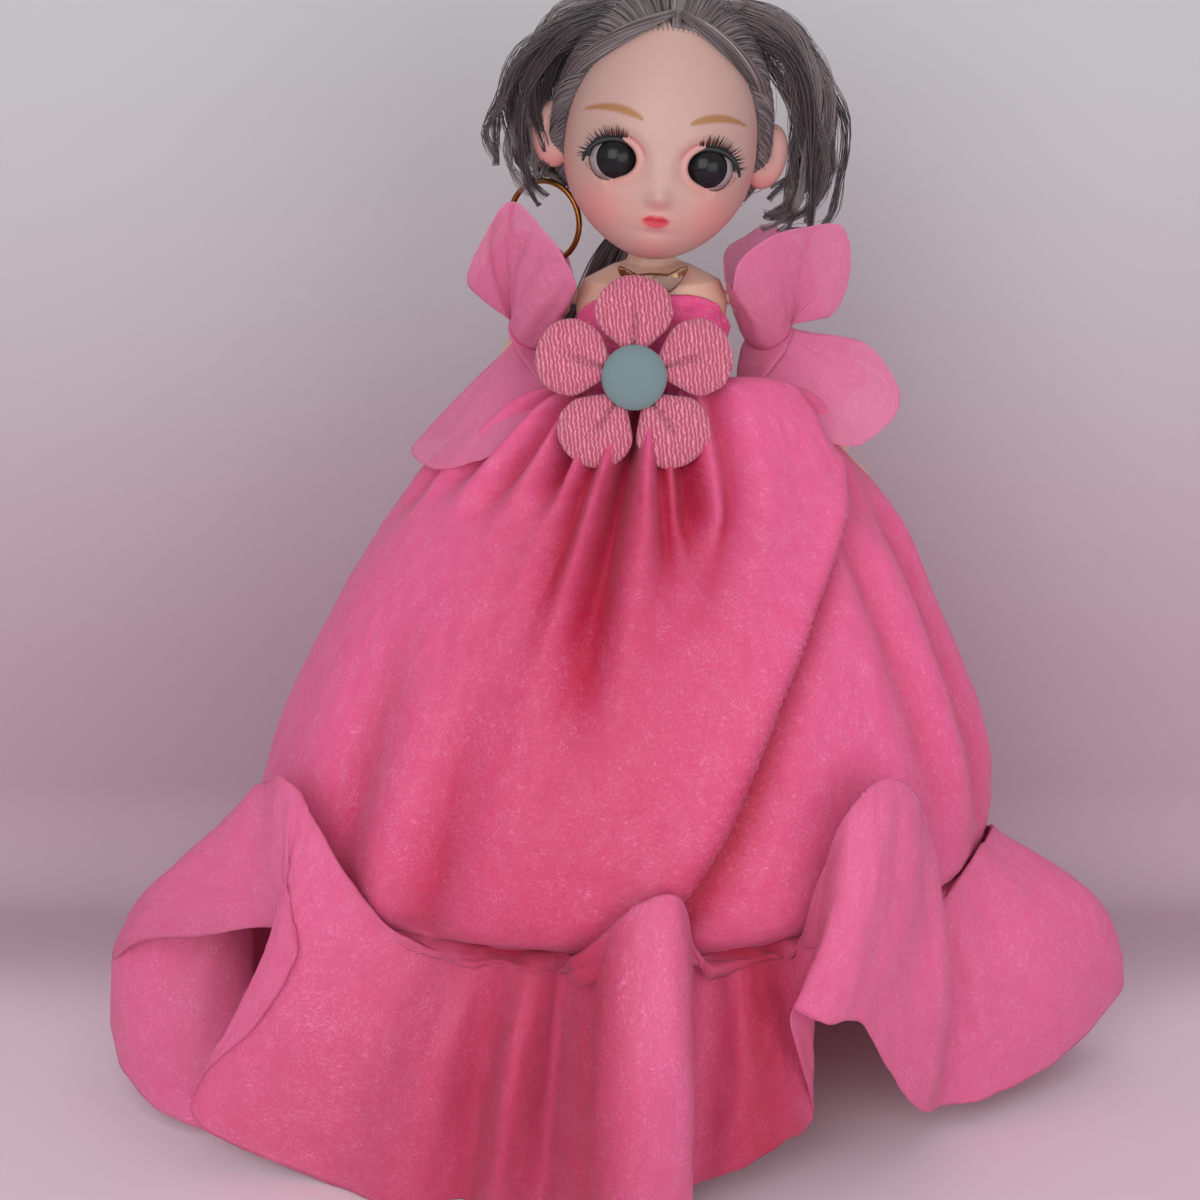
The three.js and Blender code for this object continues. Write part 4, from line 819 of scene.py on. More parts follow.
class DOLL_OT_hair(bpy.types.Operator):
    """Models the rooted hair that is combed back to the nape, with its hairline tufts and single strands"""

    bl_idname = "doll.hair"
    bl_label = "Combed-back hair"

    def execute(self, context):
        settings = context.scene.doll
        fibre = hair_fibre(settings)
        turns, shares = np.meshgrid(np.linspace(0, 2 * math.pi, 421)[:-1], np.linspace(0, 0.97, 64))
        lanes = turns / (2 * math.pi) * 128
        groove = soft_noise(lanes, shares * 3, 5, 128) + 0.5 * soft_noise(lanes * 2, shares * 4, 6, 256)
        parting = hump((turns + math.pi) % (2 * math.pi) - math.pi, -0.1, 0.05) * ease(0.75, 0.1, shares)
        growth = hair_rise(shares) + 0.34 * groove * ease(0, 0.1, shares) - 1.1 * parting
        points = on_head(combed(turns, shares, growth))[:, ::-1]
        cap = cloth_piece("combed_hair", points, (1, 1), 0.3 * MM)
        # Painted light and shade: the raised lanes of the combed hair are lighter, its grooves and its
        # parting darker
        shade = 0.34 + 0.3 * groove - 0.3 * parting
        give_attribute(cap, "shade", np.clip(shade[:, ::-1], 0, 1))
        dress(cap, fibre, "hair_fibre", "head", "hair_cap")
        draws = np.random.default_rng(3)
        count, steps = settings.strands, 13
        turn = draws.uniform(0, 2 * math.pi, (count, 1)) + np.zeros(steps)
        start = draws.uniform(0.0, 0.3, (count, 1))
        share = np.clip(start + np.linspace(0, 0.72, steps) * draws.uniform(0.5, 1.0, (count, 1)), 0, 0.96)
        arch = np.sin(math.pi * np.linspace(0, 1, steps))
        drift = draws.normal(0, 0.035, (count, 1)) * arch
        lift = hair_rise(share) + draws.uniform(0.0, 0.55, (count, 1)) * arch + 0.12
        paths = combed(turn + drift, share, lift)
        radii = settings.strand_radius * taper(0.35, 2.9, steps)
        hair_piece("hair_strands", paths, radii, draws.uniform(0.15, 1, count) ** 1.3, fibre)
        self.tufts(fibre, draws)
        return {"FINISHED"}

    def tufts(self, fibre, draws):
        """Rooted tufts along the hairline: each fans out from one hole in the vinyl."""
        roots, each, steps = 84, 9, 9
        turn = np.linspace(-2.2, 2.2, roots)[:, None, None] + np.zeros((roots, each, steps))
        run = np.linspace(0, 1, steps)
        fan = np.linspace(-1, 1, each)[None, :, None] * 0.032 * run ** 0.8
        share = -0.012 + run * 0.22 + draws.uniform(-0.02, 0.04, (roots, each, 1)) * run
        rise = (hair_rise(np.maximum(share, 0)) + 0.25) * ease(0, 0.35, run)
        growth = 0.1 + rise * draws.uniform(0.85, 1.1, (roots, each, 1))
        paths = combed(*(values.reshape(-1, steps) for values in (turn + fan, share, growth)))
        radii = 0.17 * MM * taper(0.4, 2.8, steps)
        hair_piece("hairline_tufts", paths, radii, draws.uniform(0.2, 0.95, roots * each), fibre)


def guided_strands(guide, spread, count, steps, draws, wave=0.0, waves=2.0, twist=0.0):
    """Strands that follow a guide, in millimetres. The spread gives the two half widths of their bundle at
    each point of the guide, and the wave gives the size of the waves, in millimetres too."""
    run = np.linspace(0, 1, steps)
    line, widths = smooth_rows(guide, run), smooth_rows(spread, run)
    ahead = unit(np.gradient(line, axis=0))
    across = unit(np.cross(ahead, np.array([0.0, 1.0, 0.15])))
    over = np.cross(ahead, across)
    spin = draws.uniform(0, 2 * math.pi, (count, 1)) + twist * 2 * math.pi * run
    reach = np.sqrt(draws.uniform(0, 1, (count, 1)))
    phase = draws.normal(0, 0.5, (count, 1)) + 2 * math.pi * waves * run
    first = widths[:, 0] * reach * np.cos(spin) + wave * np.sin(phase) * run ** 0.5
    second = widths[:, 1] * reach * np.sin(spin) + 0.6 * wave * np.cos(phase) * run
    return line + first[..., None] * across + second[..., None] * over


# Middle of the loose hair at each side, from the crown to its curled ends, and its half widths
LOCK_GUIDES = {
    "right": ((14, 0, 55), (27, 2, 49), (34, 5, 38), (36, 8, 27), (34, 9, 17), (30, 8, 9), (26, 8, 5)),
    "left": ((14, 0, 55), (27, 2, 51), (36, 5, 41), (41, 8, 28), (42, 9, 14), (38, 8, 4), (31, 7, 1)),
}
LOCK_SPREAD = ((2.6, 1.8), (2.2, 1.8), (1.7, 1.4), (1.2, 1.0), (0.45, 0.45))
# The band of hair over the hairline: ways from the head's middle, and its half widths there
BAND_WAYS = (
    (0.03, -0.52, 0.85), (0.35, -0.57, 0.74), (0.64, -0.47, 0.6), (0.85, -0.22, 0.42), (0.93, 0.12, 0.24),
)
BAND_SPREAD = ((0.8, 0.8), (1.9, 0.9), (2.2, 0.9), (2.0, 1.0), (1.3, 0.9))
BAND_RISE = 2.0
TAIL_GUIDE = ((0, 24, 6), (0, 31, 3), (-4, 37, -10), (-10, 38, -24), (-16, 38, -38), (-20, 37, -50))
TAIL_SPREAD = ((2.5, 2.5), (3.4, 3.4), (5.5, 4.0), (7.0, 4.5), (6.5, 4.0), (3.5, 2.5))
TIE_RADIUS, TIE_THICKNESS, TIE_RIBS = 4.6, 1.0, 32
BAND_STRANDS, LOCK_BUNCHES, BUNCH_STRANDS, TAIL_STRANDS, FLYAWAYS = 120, 22, 36, 420, 70
HOOP_RADIUS, HOOP_WIRE = 11.0 * MM, 0.8 * MM


class DOLL_OT_locks(bpy.types.Operator):
    """Models the two bands of hair over the hairline, the loose wavy locks, the tail and its tie"""

    bl_idname = "doll.locks"
    bl_label = "Locks and tail"

    def execute(self, context):
        settings = context.scene.doll
        fibre = hair_fibre(settings)
        radius = settings.strand_radius
        for name, side in SIDES:
            draws = np.random.default_rng(20 + side)
            guide = head_points(unit(np.array(BAND_WAYS) * (side, 1, 1)), BAND_RISE)
            paths = guided_strands(guide, BAND_SPREAD, BAND_STRANDS, 15, draws, twist=0.35)
            shades = draws.uniform(0.2, 1, len(paths))
            radii = radius * taper(0.5, 2.7, 15)
            hair_piece(f"{name}_hair_band", paths, radii, shades, fibre, f"{name}_hair_twist")
            bunches, shades = [], []
            for _ in range(LOCK_BUNCHES):
                guide = np.array(LOCK_GUIDES[name], float) * (side, 1, 1)
                guide += draws.normal(0, 1, 3) * np.array([3.4, 4.0, 2.8])
                guide[0] = guide[0] * 0.8 + np.array([side * 3.0, 0.0, 11.0])
                guide[1:] += np.cumsum(draws.normal(0, 1.3, (len(guide) - 1, 3)), axis=0)
                last = draws.uniform(0.62, 1.0)
                cut = smooth_rows(guide, np.linspace(0, last, 7))
                waves = draws.uniform(0.8, 2.1), draws.uniform(1.4, 2.6)
                bunches.append(guided_strands(cut, LOCK_SPREAD, BUNCH_STRANDS, 22, draws, *waves, 0.4))
                shade = draws.uniform(0.05, 0.95) + draws.normal(0, 0.13, BUNCH_STRANDS)
                shades.append(np.clip(shade, 0, 1))
            paths, shades = np.concatenate(bunches), np.concatenate(shades)
            radii = radius * 0.66 * taper(0.5, 2.95, 22)
            hair_piece(f"{name}_loose_lock", paths, radii, shades, fibre, f"{name}_hair_lock")
        self.tail(fibre, radius)
        return {"FINISHED"}

    def tail(self, fibre, radius):
        draws = np.random.default_rng(31)
        guide = np.array(TAIL_GUIDE, float)
        paths = guided_strands(guide, TAIL_SPREAD, TAIL_STRANDS, 19, draws, 1.2, 1.8)
        paths[:, -4:] += draws.normal(0, 0.8, (len(paths), 1, 3)) * np.linspace(0, 1, 4)[:, None]
        radii = radius * taper(0.5, 2.95, 19)
        hair_piece("hair_tail", paths, radii, draws.uniform(0.1, 1, len(paths)), fibre, "ponytail")
        loose, run = [], np.linspace(0, 1, 19)
        for _ in range(FLYAWAYS):
            turn, start = draws.uniform(-2.4, 2.4), draws.uniform(0.0, 0.5)
            swing = turn + draws.normal(0, 0.25) * run
            lift = hair_rise(np.full(19, start)) + draws.uniform(1.5, 5.5) * np.sin(math.pi * run * 0.7)
            loose.append(combed(swing, start + run * draws.uniform(0.15, 0.4), lift))
        hair_piece("flyaway_hairs", loose, 0.055 * MM, draws.uniform(0.2, 0.9, len(loose)), fibre)
        tie = add_primitive(
            "torus", "ribbed_hair_tie", major_radius=TIE_RADIUS, minor_radius=TIE_THICKNESS,
            major_segments=64, minor_segments=20,
        )
        places = places_of(tie)
        x, y, z = places.T
        turn, section = np.arctan2(y, x), np.arctan2(z, np.hypot(x, y) - TIE_RADIUS)
        middle = TIE_RADIUS * np.column_stack((np.cos(turn), np.sin(turn), 0 * turn))
        rib = 1 + 0.1 * np.cos(turn * TIE_RIBS + 3 * section)
        move_places(tie, middle + (places - middle) * rib[:, None])
        facing = Vector(guide[2] - guide[0]).to_track_quat("Z", "Y").to_matrix().to_4x4()
        transform(tie, facing, Matrix.Translation(guide[1]), HEAD_FRAME)
        tie.data.shade_smooth()
        dress(tie, woven_cloth("elastic_cloth", tint("D2347C"), 0.45 * MM), "elastic", "head", "hair_tie")


class DOLL_OT_earring(bpy.types.Operator):
    """Models the thin hoop and the bead under the ear lobe"""

    bl_idname = "doll.earring"
    bl_label = "Earring"

    def execute(self, context):
        low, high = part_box("earring_hoop")
        hoop = add_primitive(
            "torus", "wire_hoop", major_radius=HOOP_RADIUS, minor_radius=HOOP_WIRE,
            major_segments=128, minor_segments=20,
        )
        transform(hoop, turned(90, "X"), turned(-30, "Z"), Matrix.Translation((low + high) / 2))
        hoop.data.shade_smooth()
        wire = plated_metal("brown_gold_wire", tint("8A5A2E"), 0.28)
        dress(hoop, wire, "brown_metal", "earring", "earring_hoop")
        low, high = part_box("earring_bead")
        middle = (low + high) / 2
        bead = add_ball("silver_bead", middle, ((high.z - low.z) / 2,) * 3)
        dress(bead, plated_metal("silver_plate", tint("CFCFD2"), 0.2), "silver_metal", "head", "earring_bead")
        return {"FINISHED"}


# Body

def refined(node, name, voxel, rounds, fit=None):
    """A smooth moulded form of a CAD node: a merged copy, remeshed and relaxed."""
    source = frame["nodes"][node]
    piece = bpy.data.objects.new(name, source.data.copy())
    bpy.context.scene.collection.objects.link(piece)
    recalculate(piece)
    apply_modifier(piece, "REMESH", mode="VOXEL", voxel_size=voxel)
    apply_modifier(piece, "SMOOTH", factor=0.5, iterations=rounds)
    if fit:
        move_places(piece, fit(places_of(piece)))
    piece.data.shade_smooth()
    return piece


TORSO_HALF_WIDTH, TORSO_DEPTH_SHARE, TORSO_HIP, TORSO_RISE = 23.5, 0.66, 160.0, 72.0
# Each row: radius as a share of the half width, height as a share of the rise from hip to shoulder
TORSO_SHARES = (
    (0.42, -0.139), (0.85, -0.056), (1.0, 0.111), (0.81, 0.306), (0.65, 0.528), (0.72, 0.694),
    (0.85, 0.861), (0.885, 1.0), (0.79, 1.069), (0.46, 1.125), (0.26, 1.146),
)


def torso_radius(heights):
    """The torso's half width at heights in millimetres."""
    shares = np.array(TORSO_SHARES)
    levels = TORSO_HIP + shares[:, 1] * TORSO_RISE
    return np.interp(heights, levels, shares[:, 0] * TORSO_HALF_WIDTH)


def rounded_torso(places):
    """Moves the places of the outer skin out to the true round of the torso."""
    x, y, z = (places / MM).T
    around = np.hypot(x, y / TORSO_DEPTH_SHARE)
    target = torso_radius(z)
    near = (np.abs(around - target) < 1.1) & (z > 161) & (z < 241) & (np.abs(y) > 0.4)
    scale = np.where(near, (target - 0.05) / np.maximum(around, 1e-6), 1.0)
    return np.column_stack((x * scale, y * scale, z)) * MM


# Limbs, each with the voxel in millimetres and the rounds of smoothing that its form takes, and the joint
# pieces, each with the body it rides on
LIMBS = (
    ("upper_arm", 0.5, 12), ("forearm", 0.4, 10), ("hand", 0.3, 4), ("thigh", 0.7, 14), ("shin", 0.6, 12),
    ("foot", 0.5, 8),
)
LIMB_JOINTS = (
    ("shoulder_joint", "shoulder_joint"), ("hip_joint", "hip_joint"), ("elbow_pin", "upper_arm"),
    ("knee_pin", "thigh"),
)


class DOLL_OT_body(bpy.types.Operator):
    """Models the moulded torso, arms, hands, legs, feet, shoes and joints"""

    bl_idname = "doll.body"
    bl_label = "Body"

    def execute(self, context):
        settings = context.scene.doll
        skin = moulded_plastic("body_plastic", settings.body, 0.42)
        inner = moulded_plastic("joint_plastic", settings.joint, 0.38)
        shoe = moulded_plastic("shoe_vinyl", tint("F3ECEF"), 0.3)
        for half in ("front", "back"):
            shell = refined(f"torso_{half}_shell", f"{half}_body_shell", 0.55 * MM, 6, rounded_torso)
            dress(shell, skin, "body_plastic", "torso", f"torso_{half}_shell")
        for side, _ in SIDES:
            for part, voxel, rounds in LIMBS:
                piece = refined(f"{side}_{part}", f"{side}_moulded_{part}", voxel * MM, rounds)
                dress(piece, skin, "body_plastic", f"{side}_{part}", f"{side}_{part}")
            shoe_piece = refined(f"{side}_shoe", f"{side}_slip_on_shoe", 0.45 * MM, 6)
            dress(shoe_piece, shoe, "shoe_vinyl", f"{side}_foot", f"{side}_shoe")
            for part, body in LIMB_JOINTS:
                piece = refined(f"{side}_{part}", f"{side}_round_{part}", 0.35 * MM, 8)
                dress(piece, inner, "joint_plastic", f"{side}_{body}", f"{side}_{part}")
        for part in ("neck_post", "neck_plug"):
            piece = refined(part, f"round_{part}", 0.4 * MM, 8)
            dress(piece, inner, "joint_plastic", part, part)
        return {"FINISHED"}


# Gown. How far the bodice's top drops at the arms, and how far its cloth lies over the torso
BODICE_SIDE_DROP, BODICE_EASE = 10.5, 0.95


class DOLL_OT_bodice(bpy.types.Operator):
    """Models the crinkled band of the bodice and the fastener tape at its back"""

    bl_idname = "doll.bodice"
    bl_label = "Bodice"

    def execute(self, context):
        settings = context.scene.gown
        low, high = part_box("bodice")
        bottom, top = low.z / MM, high.z / MM
        turns, shares = np.meshgrid(np.linspace(0, 2 * math.pi, 321)[:-1], np.linspace(0, 1, 61))
        side_drop = BODICE_SIDE_DROP * np.abs(np.cos(turns)) ** 5
        heights = top - side_drop + shares * (bottom - top + side_drop)
        gather = soft_noise(turns / (2 * math.pi) * 72, shares * 2.2, 41, 72) * (0.25 + 0.5 * shares)
        wrinkle = soft_noise(turns / (2 * math.pi) * 40, shares * 22, 42, 40) * 0.32
        hem = 0.55 * hump(shares, 0.03, 0.035)
        growth = BODICE_EASE + 0.45 * gather + wrinkle + hem
        radius = torso_radius(heights)
        x = (radius + growth) * np.cos(turns)
        y = (radius * TORSO_DEPTH_SHARE + growth) * np.sin(turns)
        flat = (0.115, 0.03)
        points = np.stack((x, y, heights), axis=-1) * MM
        piece = cloth_piece("crinkled_bodice", points, flat, settings.sheet_thickness)
        dress(piece, organza(settings, "dense_organza", 1.0, 0.12, 0.0), "organza", "torso", "bodice")
        strip = refined("bodice_fastener", "fastener_tape", 0.4 * MM, 5)
        tape = woven_cloth("looped_tape", tint("F5A3C5"), 0.5 * MM, 0.95)
        dress(strip, tape, "fastener_tape", "torso", "bodice_fastener")
        return {"FINISHED"}


# Deep gathers of the skirt. Each row: the angles where it starts and ends, its depth in millimetres, its half
# width in degrees, and the shares of the way down between which it runs
SKIRT_GATHERS = (
    (-96, -100, 9.5, 3.2, 0.14, 0.74), (-87, -85, 6.0, 2.0, 0.14, 0.6), (-80, -80, 8.0, 2.8, 0.14, 0.56),
    (-74, -77, 4.5, 2.2, 0.14, 0.52), (-106, -109, 4.5, 2.6, 0.14, 0.66), (-117, -117, 7.5, 3.2, 0.12, 0.46),
    (-126, -134, 4.0, 4.0, 0.1, 0.5), (-141, -152, 3.5, 5.0, 0.1, 0.48), (-118, -121, 3.2, 4.0, 0.72, 0.98),
    (-138, -134, 2.6, 5.0, 0.66, 0.96), (-22, -26, 3.0, 6.0, 0.1, 0.55), (-36, -33, 2.2, 4.0, 0.4, 0.9),
    (-12, -16, 2.4, 5.0, 0.45, 0.95), (15, 12, 4.0, 6.0, 0.1, 0.7), (38, 42, 4.0, 5.0, 0.1, 0.6),
    (62, 58, 5.0, 4.0, 0.1, 0.7), (88, 90, 6.0, 4.0, 0.1, 0.65), (112, 108, 5.0, 4.0, 0.1, 0.7),
    (136, 140, 4.0, 5.0, 0.1, 0.6), (162, 158, 4.0, 6.0, 0.1, 0.7), (-165, -170, 3.0, 6.0, 0.1, 0.55),
)
# The big rolled fold of the left front: share of the way down, and the angles of its two edges
ROLL_EDGES = (
    (0.1, -58, 8), (0.24, -60, -4), (0.38, -62, -32), (0.45, -65, -42), (0.52, -70, -50), (0.58, -75, -58),
    (0.66, -84, -67), (0.74, -95, -76), (0.85, -110, -86), (1.0, -125, -95),
)
ROLL_HEIGHT = 8.0


def wrapped(angle):
    """Degrees brought to between -180 and 180."""
    return (angle + 180) % 360 - 180


def rolled_fold(degrees, shares):
    """How far the big rolled fold stands out in millimetres, how far its edges are drawn sideways in degrees,
    and the painted shade beside them."""
    levels, left_edge, right_edge = np.array(ROLL_EDGES, float).T
    beyond_left = wrapped(degrees - np.interp(shares, levels, left_edge))
    beyond_right = wrapped(degrees - np.interp(shares, levels, right_edge))
    ending = ease(0.98, 0.84, shares)
    height = ROLL_HEIGHT * ease(0.06, 0.2, shares) * ending
    free = ease(0.64, 0.46, shares)
    rise = free * ease(-2.2, 3.2, beyond_left) + (1 - free) * np.exp(-(np.minimum(beyond_right, 0) / 44) ** 2)
    crisp = ease(0.24, 0.42, shares)
    width = 3.0 + 26 * (1 - crisp)
    fall = ease(width, -0.4 * width, beyond_right)
    inside = (beyond_right < 90) & (beyond_right > -150)
    stand = height * rise * fall * inside
    stand += height * crisp * (0.24 * hump(beyond_right, -2.6, 2.4) - 0.42 * hump(beyond_right, 5.0, 4.0))
    stand -= 0.35 * height * free * hump(beyond_left, -4.5, 3.0)
    pull = 2.4 * crisp * hump(beyond_right, 0.4, 2.2) * ending - 1.6 * free * hump(beyond_left, 0.0, 2.4)
    # Painted shade in the trough beyond the fold's right edge, and in the dip beside its left edge where it
    # rises free
    shaded = 0.75 * crisp * hump(beyond_right, 5.0, 4.5) * ending
    return stand, pull, shaded + 0.6 * free * hump(beyond_left, -4.0, 2.6) * ease(0.06, 0.2, shares)


def skirt_points(columns, rows, pleats):
    """The places of the skirt, with its gathers, pleats, waves and crinkles, and its painted shade, partly
    where
    the cloth overlaps itself: in the hollows of the gathers, beside the big fold and down the middle of the
    front.
    """
    turns, shares = np.meshgrid(np.arange(columns) / columns, np.linspace(0, 1, rows + 1))
    degrees = wrapped(360 * turns)
    base = smooth_rows(SKIRT_ROWS, shares)
    height, half_width, half_depth = base[..., 0], base[..., 1], base[..., 2]
    out = np.zeros_like(shares)
    layers_and_shade = np.zeros_like(shares)
    for start, end, depth, width, top, reach in SKIRT_GATHERS:
        centre = start + (end - start) * ease(top, reach, shares)
        fade = ease(top - 0.1, top + 0.12, shares) * ease(reach, top + 0.68 * (reach - top), shares)
        apart = wrapped(degrees - centre)
        spread = width * (0.75 + 0.8 * shares)
        beside = hump(apart, spread * 1.8, spread) + hump(apart, -spread * 1.8, spread)
        out += fade * depth * (0.45 * beside - 1.45 * hump(apart, 0, spread))
        # Painted shade in the hollow of each gather, partly where the cloth overlaps itself
        layers_and_shade += fade * min(1.0, depth / 7) * hump(apart, 0.1 * spread, 0.8 * spread)
    waves = ring_noise(turns, shares, pleats, 2.0, 51)
    out += 1.5 * waves * ease(0.0, 0.06, shares) * ease(0.6, 0.12, shares)
    out += 1.0 * ring_noise(turns, shares, 64, 3.0, 52) * ease(0.8, 1.0, shares)
    out += 2.4 * ring_noise(turns, shares, 9, 3.5, 53) * np.sin(math.pi * shares)
    out += 0.9 * soft_noise(turns * 22 + 3 * shares, shares * 8, 54, 22) * np.sin(math.pi * shares) ** 0.6
    stand, pull, shaded = rolled_fold(degrees, shares)
    out += stand
    # Painted shade: the middle of the front is darker and redder than its sides
    middle = hump(wrapped(degrees + 98), 0, 30) * ease(0.16, 0.4, shares)
    layers_and_shade = np.clip(layers_and_shade + shaded + 0.6 * middle, 0, 1)
    front_right = hump(wrapped(degrees), -46, 30) * hump(shares, 0.2, 0.15)
    front_left = hump(wrapped(degrees), -142, 26) * hump(shares, 0.22, 0.15)
    raised = 7.0 * front_right + 2.5 * front_left
    fine = 0.26 * ring_noise(turns, shares, 150, 60, 55)
    fine += 0.16 * ring_noise(turns, shares, 250, 34, 56)
    out += fine * ease(0, 0.1, shares)
    angle = np.radians(degrees + pull)
    scale = ease(0, 0.05, shares)
    x = (half_width + out * scale) * np.cos(angle) - SKIRT_SHIFT * shares ** 2
    y = (half_depth + out * scale * 0.9) * np.sin(angle)
    return np.stack((x, y, height + raised), axis=-1) * MM, layers_and_shade


class DOLL_OT_skirt(bpy.types.Operator):
    """Models the puffed skirt with its gathers and its big overlapping fold"""

    bl_idname = "doll.skirt"
    bl_label = "Skirt"

    def execute(self, context):
        settings = context.scene.gown
        flat = (0.6, 0.165)
        points, layers_and_shade = skirt_points(360, 124, settings.pleats)
        piece = cloth_piece("puffed_skirt", points, flat, settings.sheet_thickness)
        give_attribute(piece, "layers_and_shade", layers_and_shade)
        dress(piece, organza(settings, "lined_organza", 1.0, 0.18, 0.16), "organza", "torso", "skirt")
        return {"FINISHED"}


# Sizes of the flounce, and the columns of its front, from the right side round. Each row: its angle at the
# seam in degrees, how far the cloth goes out and up and then bellies, as shares of the swell and the lift,
# and its hem's place as shares of the half width, the half depth and the seam's height
FLOUNCE_HALF_WIDTH, FLOUNCE_HALF_DEPTH, FLOUNCE_SWELL, FLOUNCE_LIFT = 150.0, 102.0, 16.0, 47.0
FLOUNCE_FRONT = (
    (172, 0.5, -0.15, 0.2, -0.91, 0.25, 0.03), (-178, 0.4, -0.15, 0.15, -0.72, -0.3, 0.02),
    (-172, 0.5, 0, 0.3, -0.85, -0.42, 0.03), (-167, 0.75, 0.13, 0.55, -1.01, -0.24, 0.11),
    (-162, 0.9, 0.2, 0.8, -1.06, -0.04, 0.35), (-157, 0.9, 0.47, 0.5, -0.99, -0.26, 0.7),
    (-150, 0.85, 0.74, 0.25, -0.81, -0.47, 0.9), (-143, 0.85, 0.87, 0.12, -0.66, -0.62, 1.02),
    (-139, 0.85, 0.87, 0.12, -0.63, -0.68, 0.94), (-136, 0.78, 0.7, 0.14, -0.71, -0.67, 0.66),
    (-132, 0.7, 0.42, 0.2, -0.82, -0.63, 0.4), (-127, 0.45, 0.1, 0.3, -0.82, -0.6, 0.17),
    (-120, 0.25, -0.04, 0.25, -0.61, -0.67, 0.02), (-112, 0.4, -0.06, 0.38, -0.44, -0.8, 0),
    (-107, 0.25, -0.06, 0.06, -0.34, -0.75, 0), (-102, 0.4, -0.06, 0.38, -0.28, -0.85, 0),
    (-98, 0.12, -0.1, 0.04, -0.2, -0.77, 0), (-94, 0.75, 0.1, 0.6, -0.14, -0.91, 0),
    (-88, 1.1, 0.42, 0.8, -0.04, -0.97, 0.01), (-82, 1.0, 0.46, 0.6, 0.06, -0.93, 0.04),
    (-78, 0.3, 0.0, 0.12, 0.065, -0.79, 0.05), (-72, 0.35, -0.04, 0.2, 0.15, -0.8, 0.17),
    (-67, 0.25, -0.04, 0.12, 0.24, -0.75, 0.25), (-62, 0.25, 0, 0.12, 0.29, -0.69, 0.31),
    (-60, 0.85, 0.75, 0.25, 0.23, -0.86, 0.85), (-55, 0.95, 1, 0.38, 0.29, -0.88, 0.83),
    (-49, 0.95, 0.96, 0.25, 0.36, -0.82, 0.78), (-43, 0.85, 0.64, 0.25, 0.42, -0.69, 0.5),
    (-38, 0.7, 0.21, 0.38, 0.5, -0.54, 0.2), (-32, 0.35, -0.04, 0.12, 0.56, -0.4, 0.11),
    (-26, 0.4, 0, 0.3, 0.63, -0.36, 0.1), (-18, 0.6, 0.13, 0.6, 0.75, -0.26, 0.14),
    (-10, 0.75, 0.17, 0.85, 0.88, -0.11, 0.24), (-3, 0.75, 0.13, 0.75, 0.95, 0.03, 0.35),
    (6, 0.5, -0.08, 0.25, 0.79, 0.14, 0.08),
)
# The flutes of the back, in turn: out, up and belly as above, and how far out and up the hem lies
FLUTES = ((0.6, 0.08, 0.55, 2.1, 0.1), (0.6, 0.04, 0.45, 1.6, 0.04), (0.6, -0.08, 0.3, 0.9, 0))
FLUTE_ANGLES = range(14, 166, 8)
# How far the flounce's seam lies below the skirt's hem and is tucked in behind it, and its lowest hem
SEAM_LAP, SEAM_TUCK, LOWEST_HEM = 0.5, 1.3, 0.4
# Rows of a column over its fold, as shares of how far it goes out and up, and from there down to its hem
FOLD_SHARES = ((0.85, 0.1), (0.95, 0.8), (1, 1))
HANG_SHARES = ((0.38, 1), (0.72, 0.7), (1, 0))


def seam_place(turn, out=0.0):
    """A place on the flounce's seam, or out from it, in millimetres."""
    x = (SEAM_HALF_WIDTH + out) * math.cos(turn) - SKIRT_SHIFT
    return np.array([x, (SEAM_HALF_DEPTH + out) * math.sin(turn), SEAM_HEIGHT - SEAM_LAP])


def flounce_column(angle, out, rise, belly, hem):
    """The places of one column, from the seam over its fold to the hem."""
    turn = math.radians(angle)
    away = np.array([math.cos(turn), math.sin(turn), 0.0]) * FLOUNCE_SWELL
    lift = np.array([0.0, 0.0, FLOUNCE_LIFT * rise])
    fold = [seam_place(turn, -SEAM_TUCK) + np.array([0.0, 0.0, SEAM_TUCK])]
    fold += [seam_place(turn) + away * out * far + lift * high for far, high in FOLD_SHARES]
    top = fold[-1]
    return fold + [top + (hem - top) * share + away * belly * swell for share, swell in HANG_SHARES]


def flounce_net():
    """The columns of the whole flounce, in millimetres."""
    columns = []
    for angle, out, rise, belly, x, y, z in FLOUNCE_FRONT:
        hem = np.array([x * FLOUNCE_HALF_WIDTH, y * FLOUNCE_HALF_DEPTH, z * SEAM_HEIGHT])
        columns.append(flounce_column(angle, out, rise, belly, hem))
    for place, angle in enumerate(FLUTE_ANGLES):
        out, rise, belly, reach, hem_rise = FLUTES[place % len(FLUTES)]
        hem = seam_place(math.radians(angle), FLOUNCE_SWELL * reach)
        hem[2] = SEAM_HEIGHT * hem_rise
        columns.append(flounce_column(angle, out, rise, belly, hem))
    return np.array(columns)


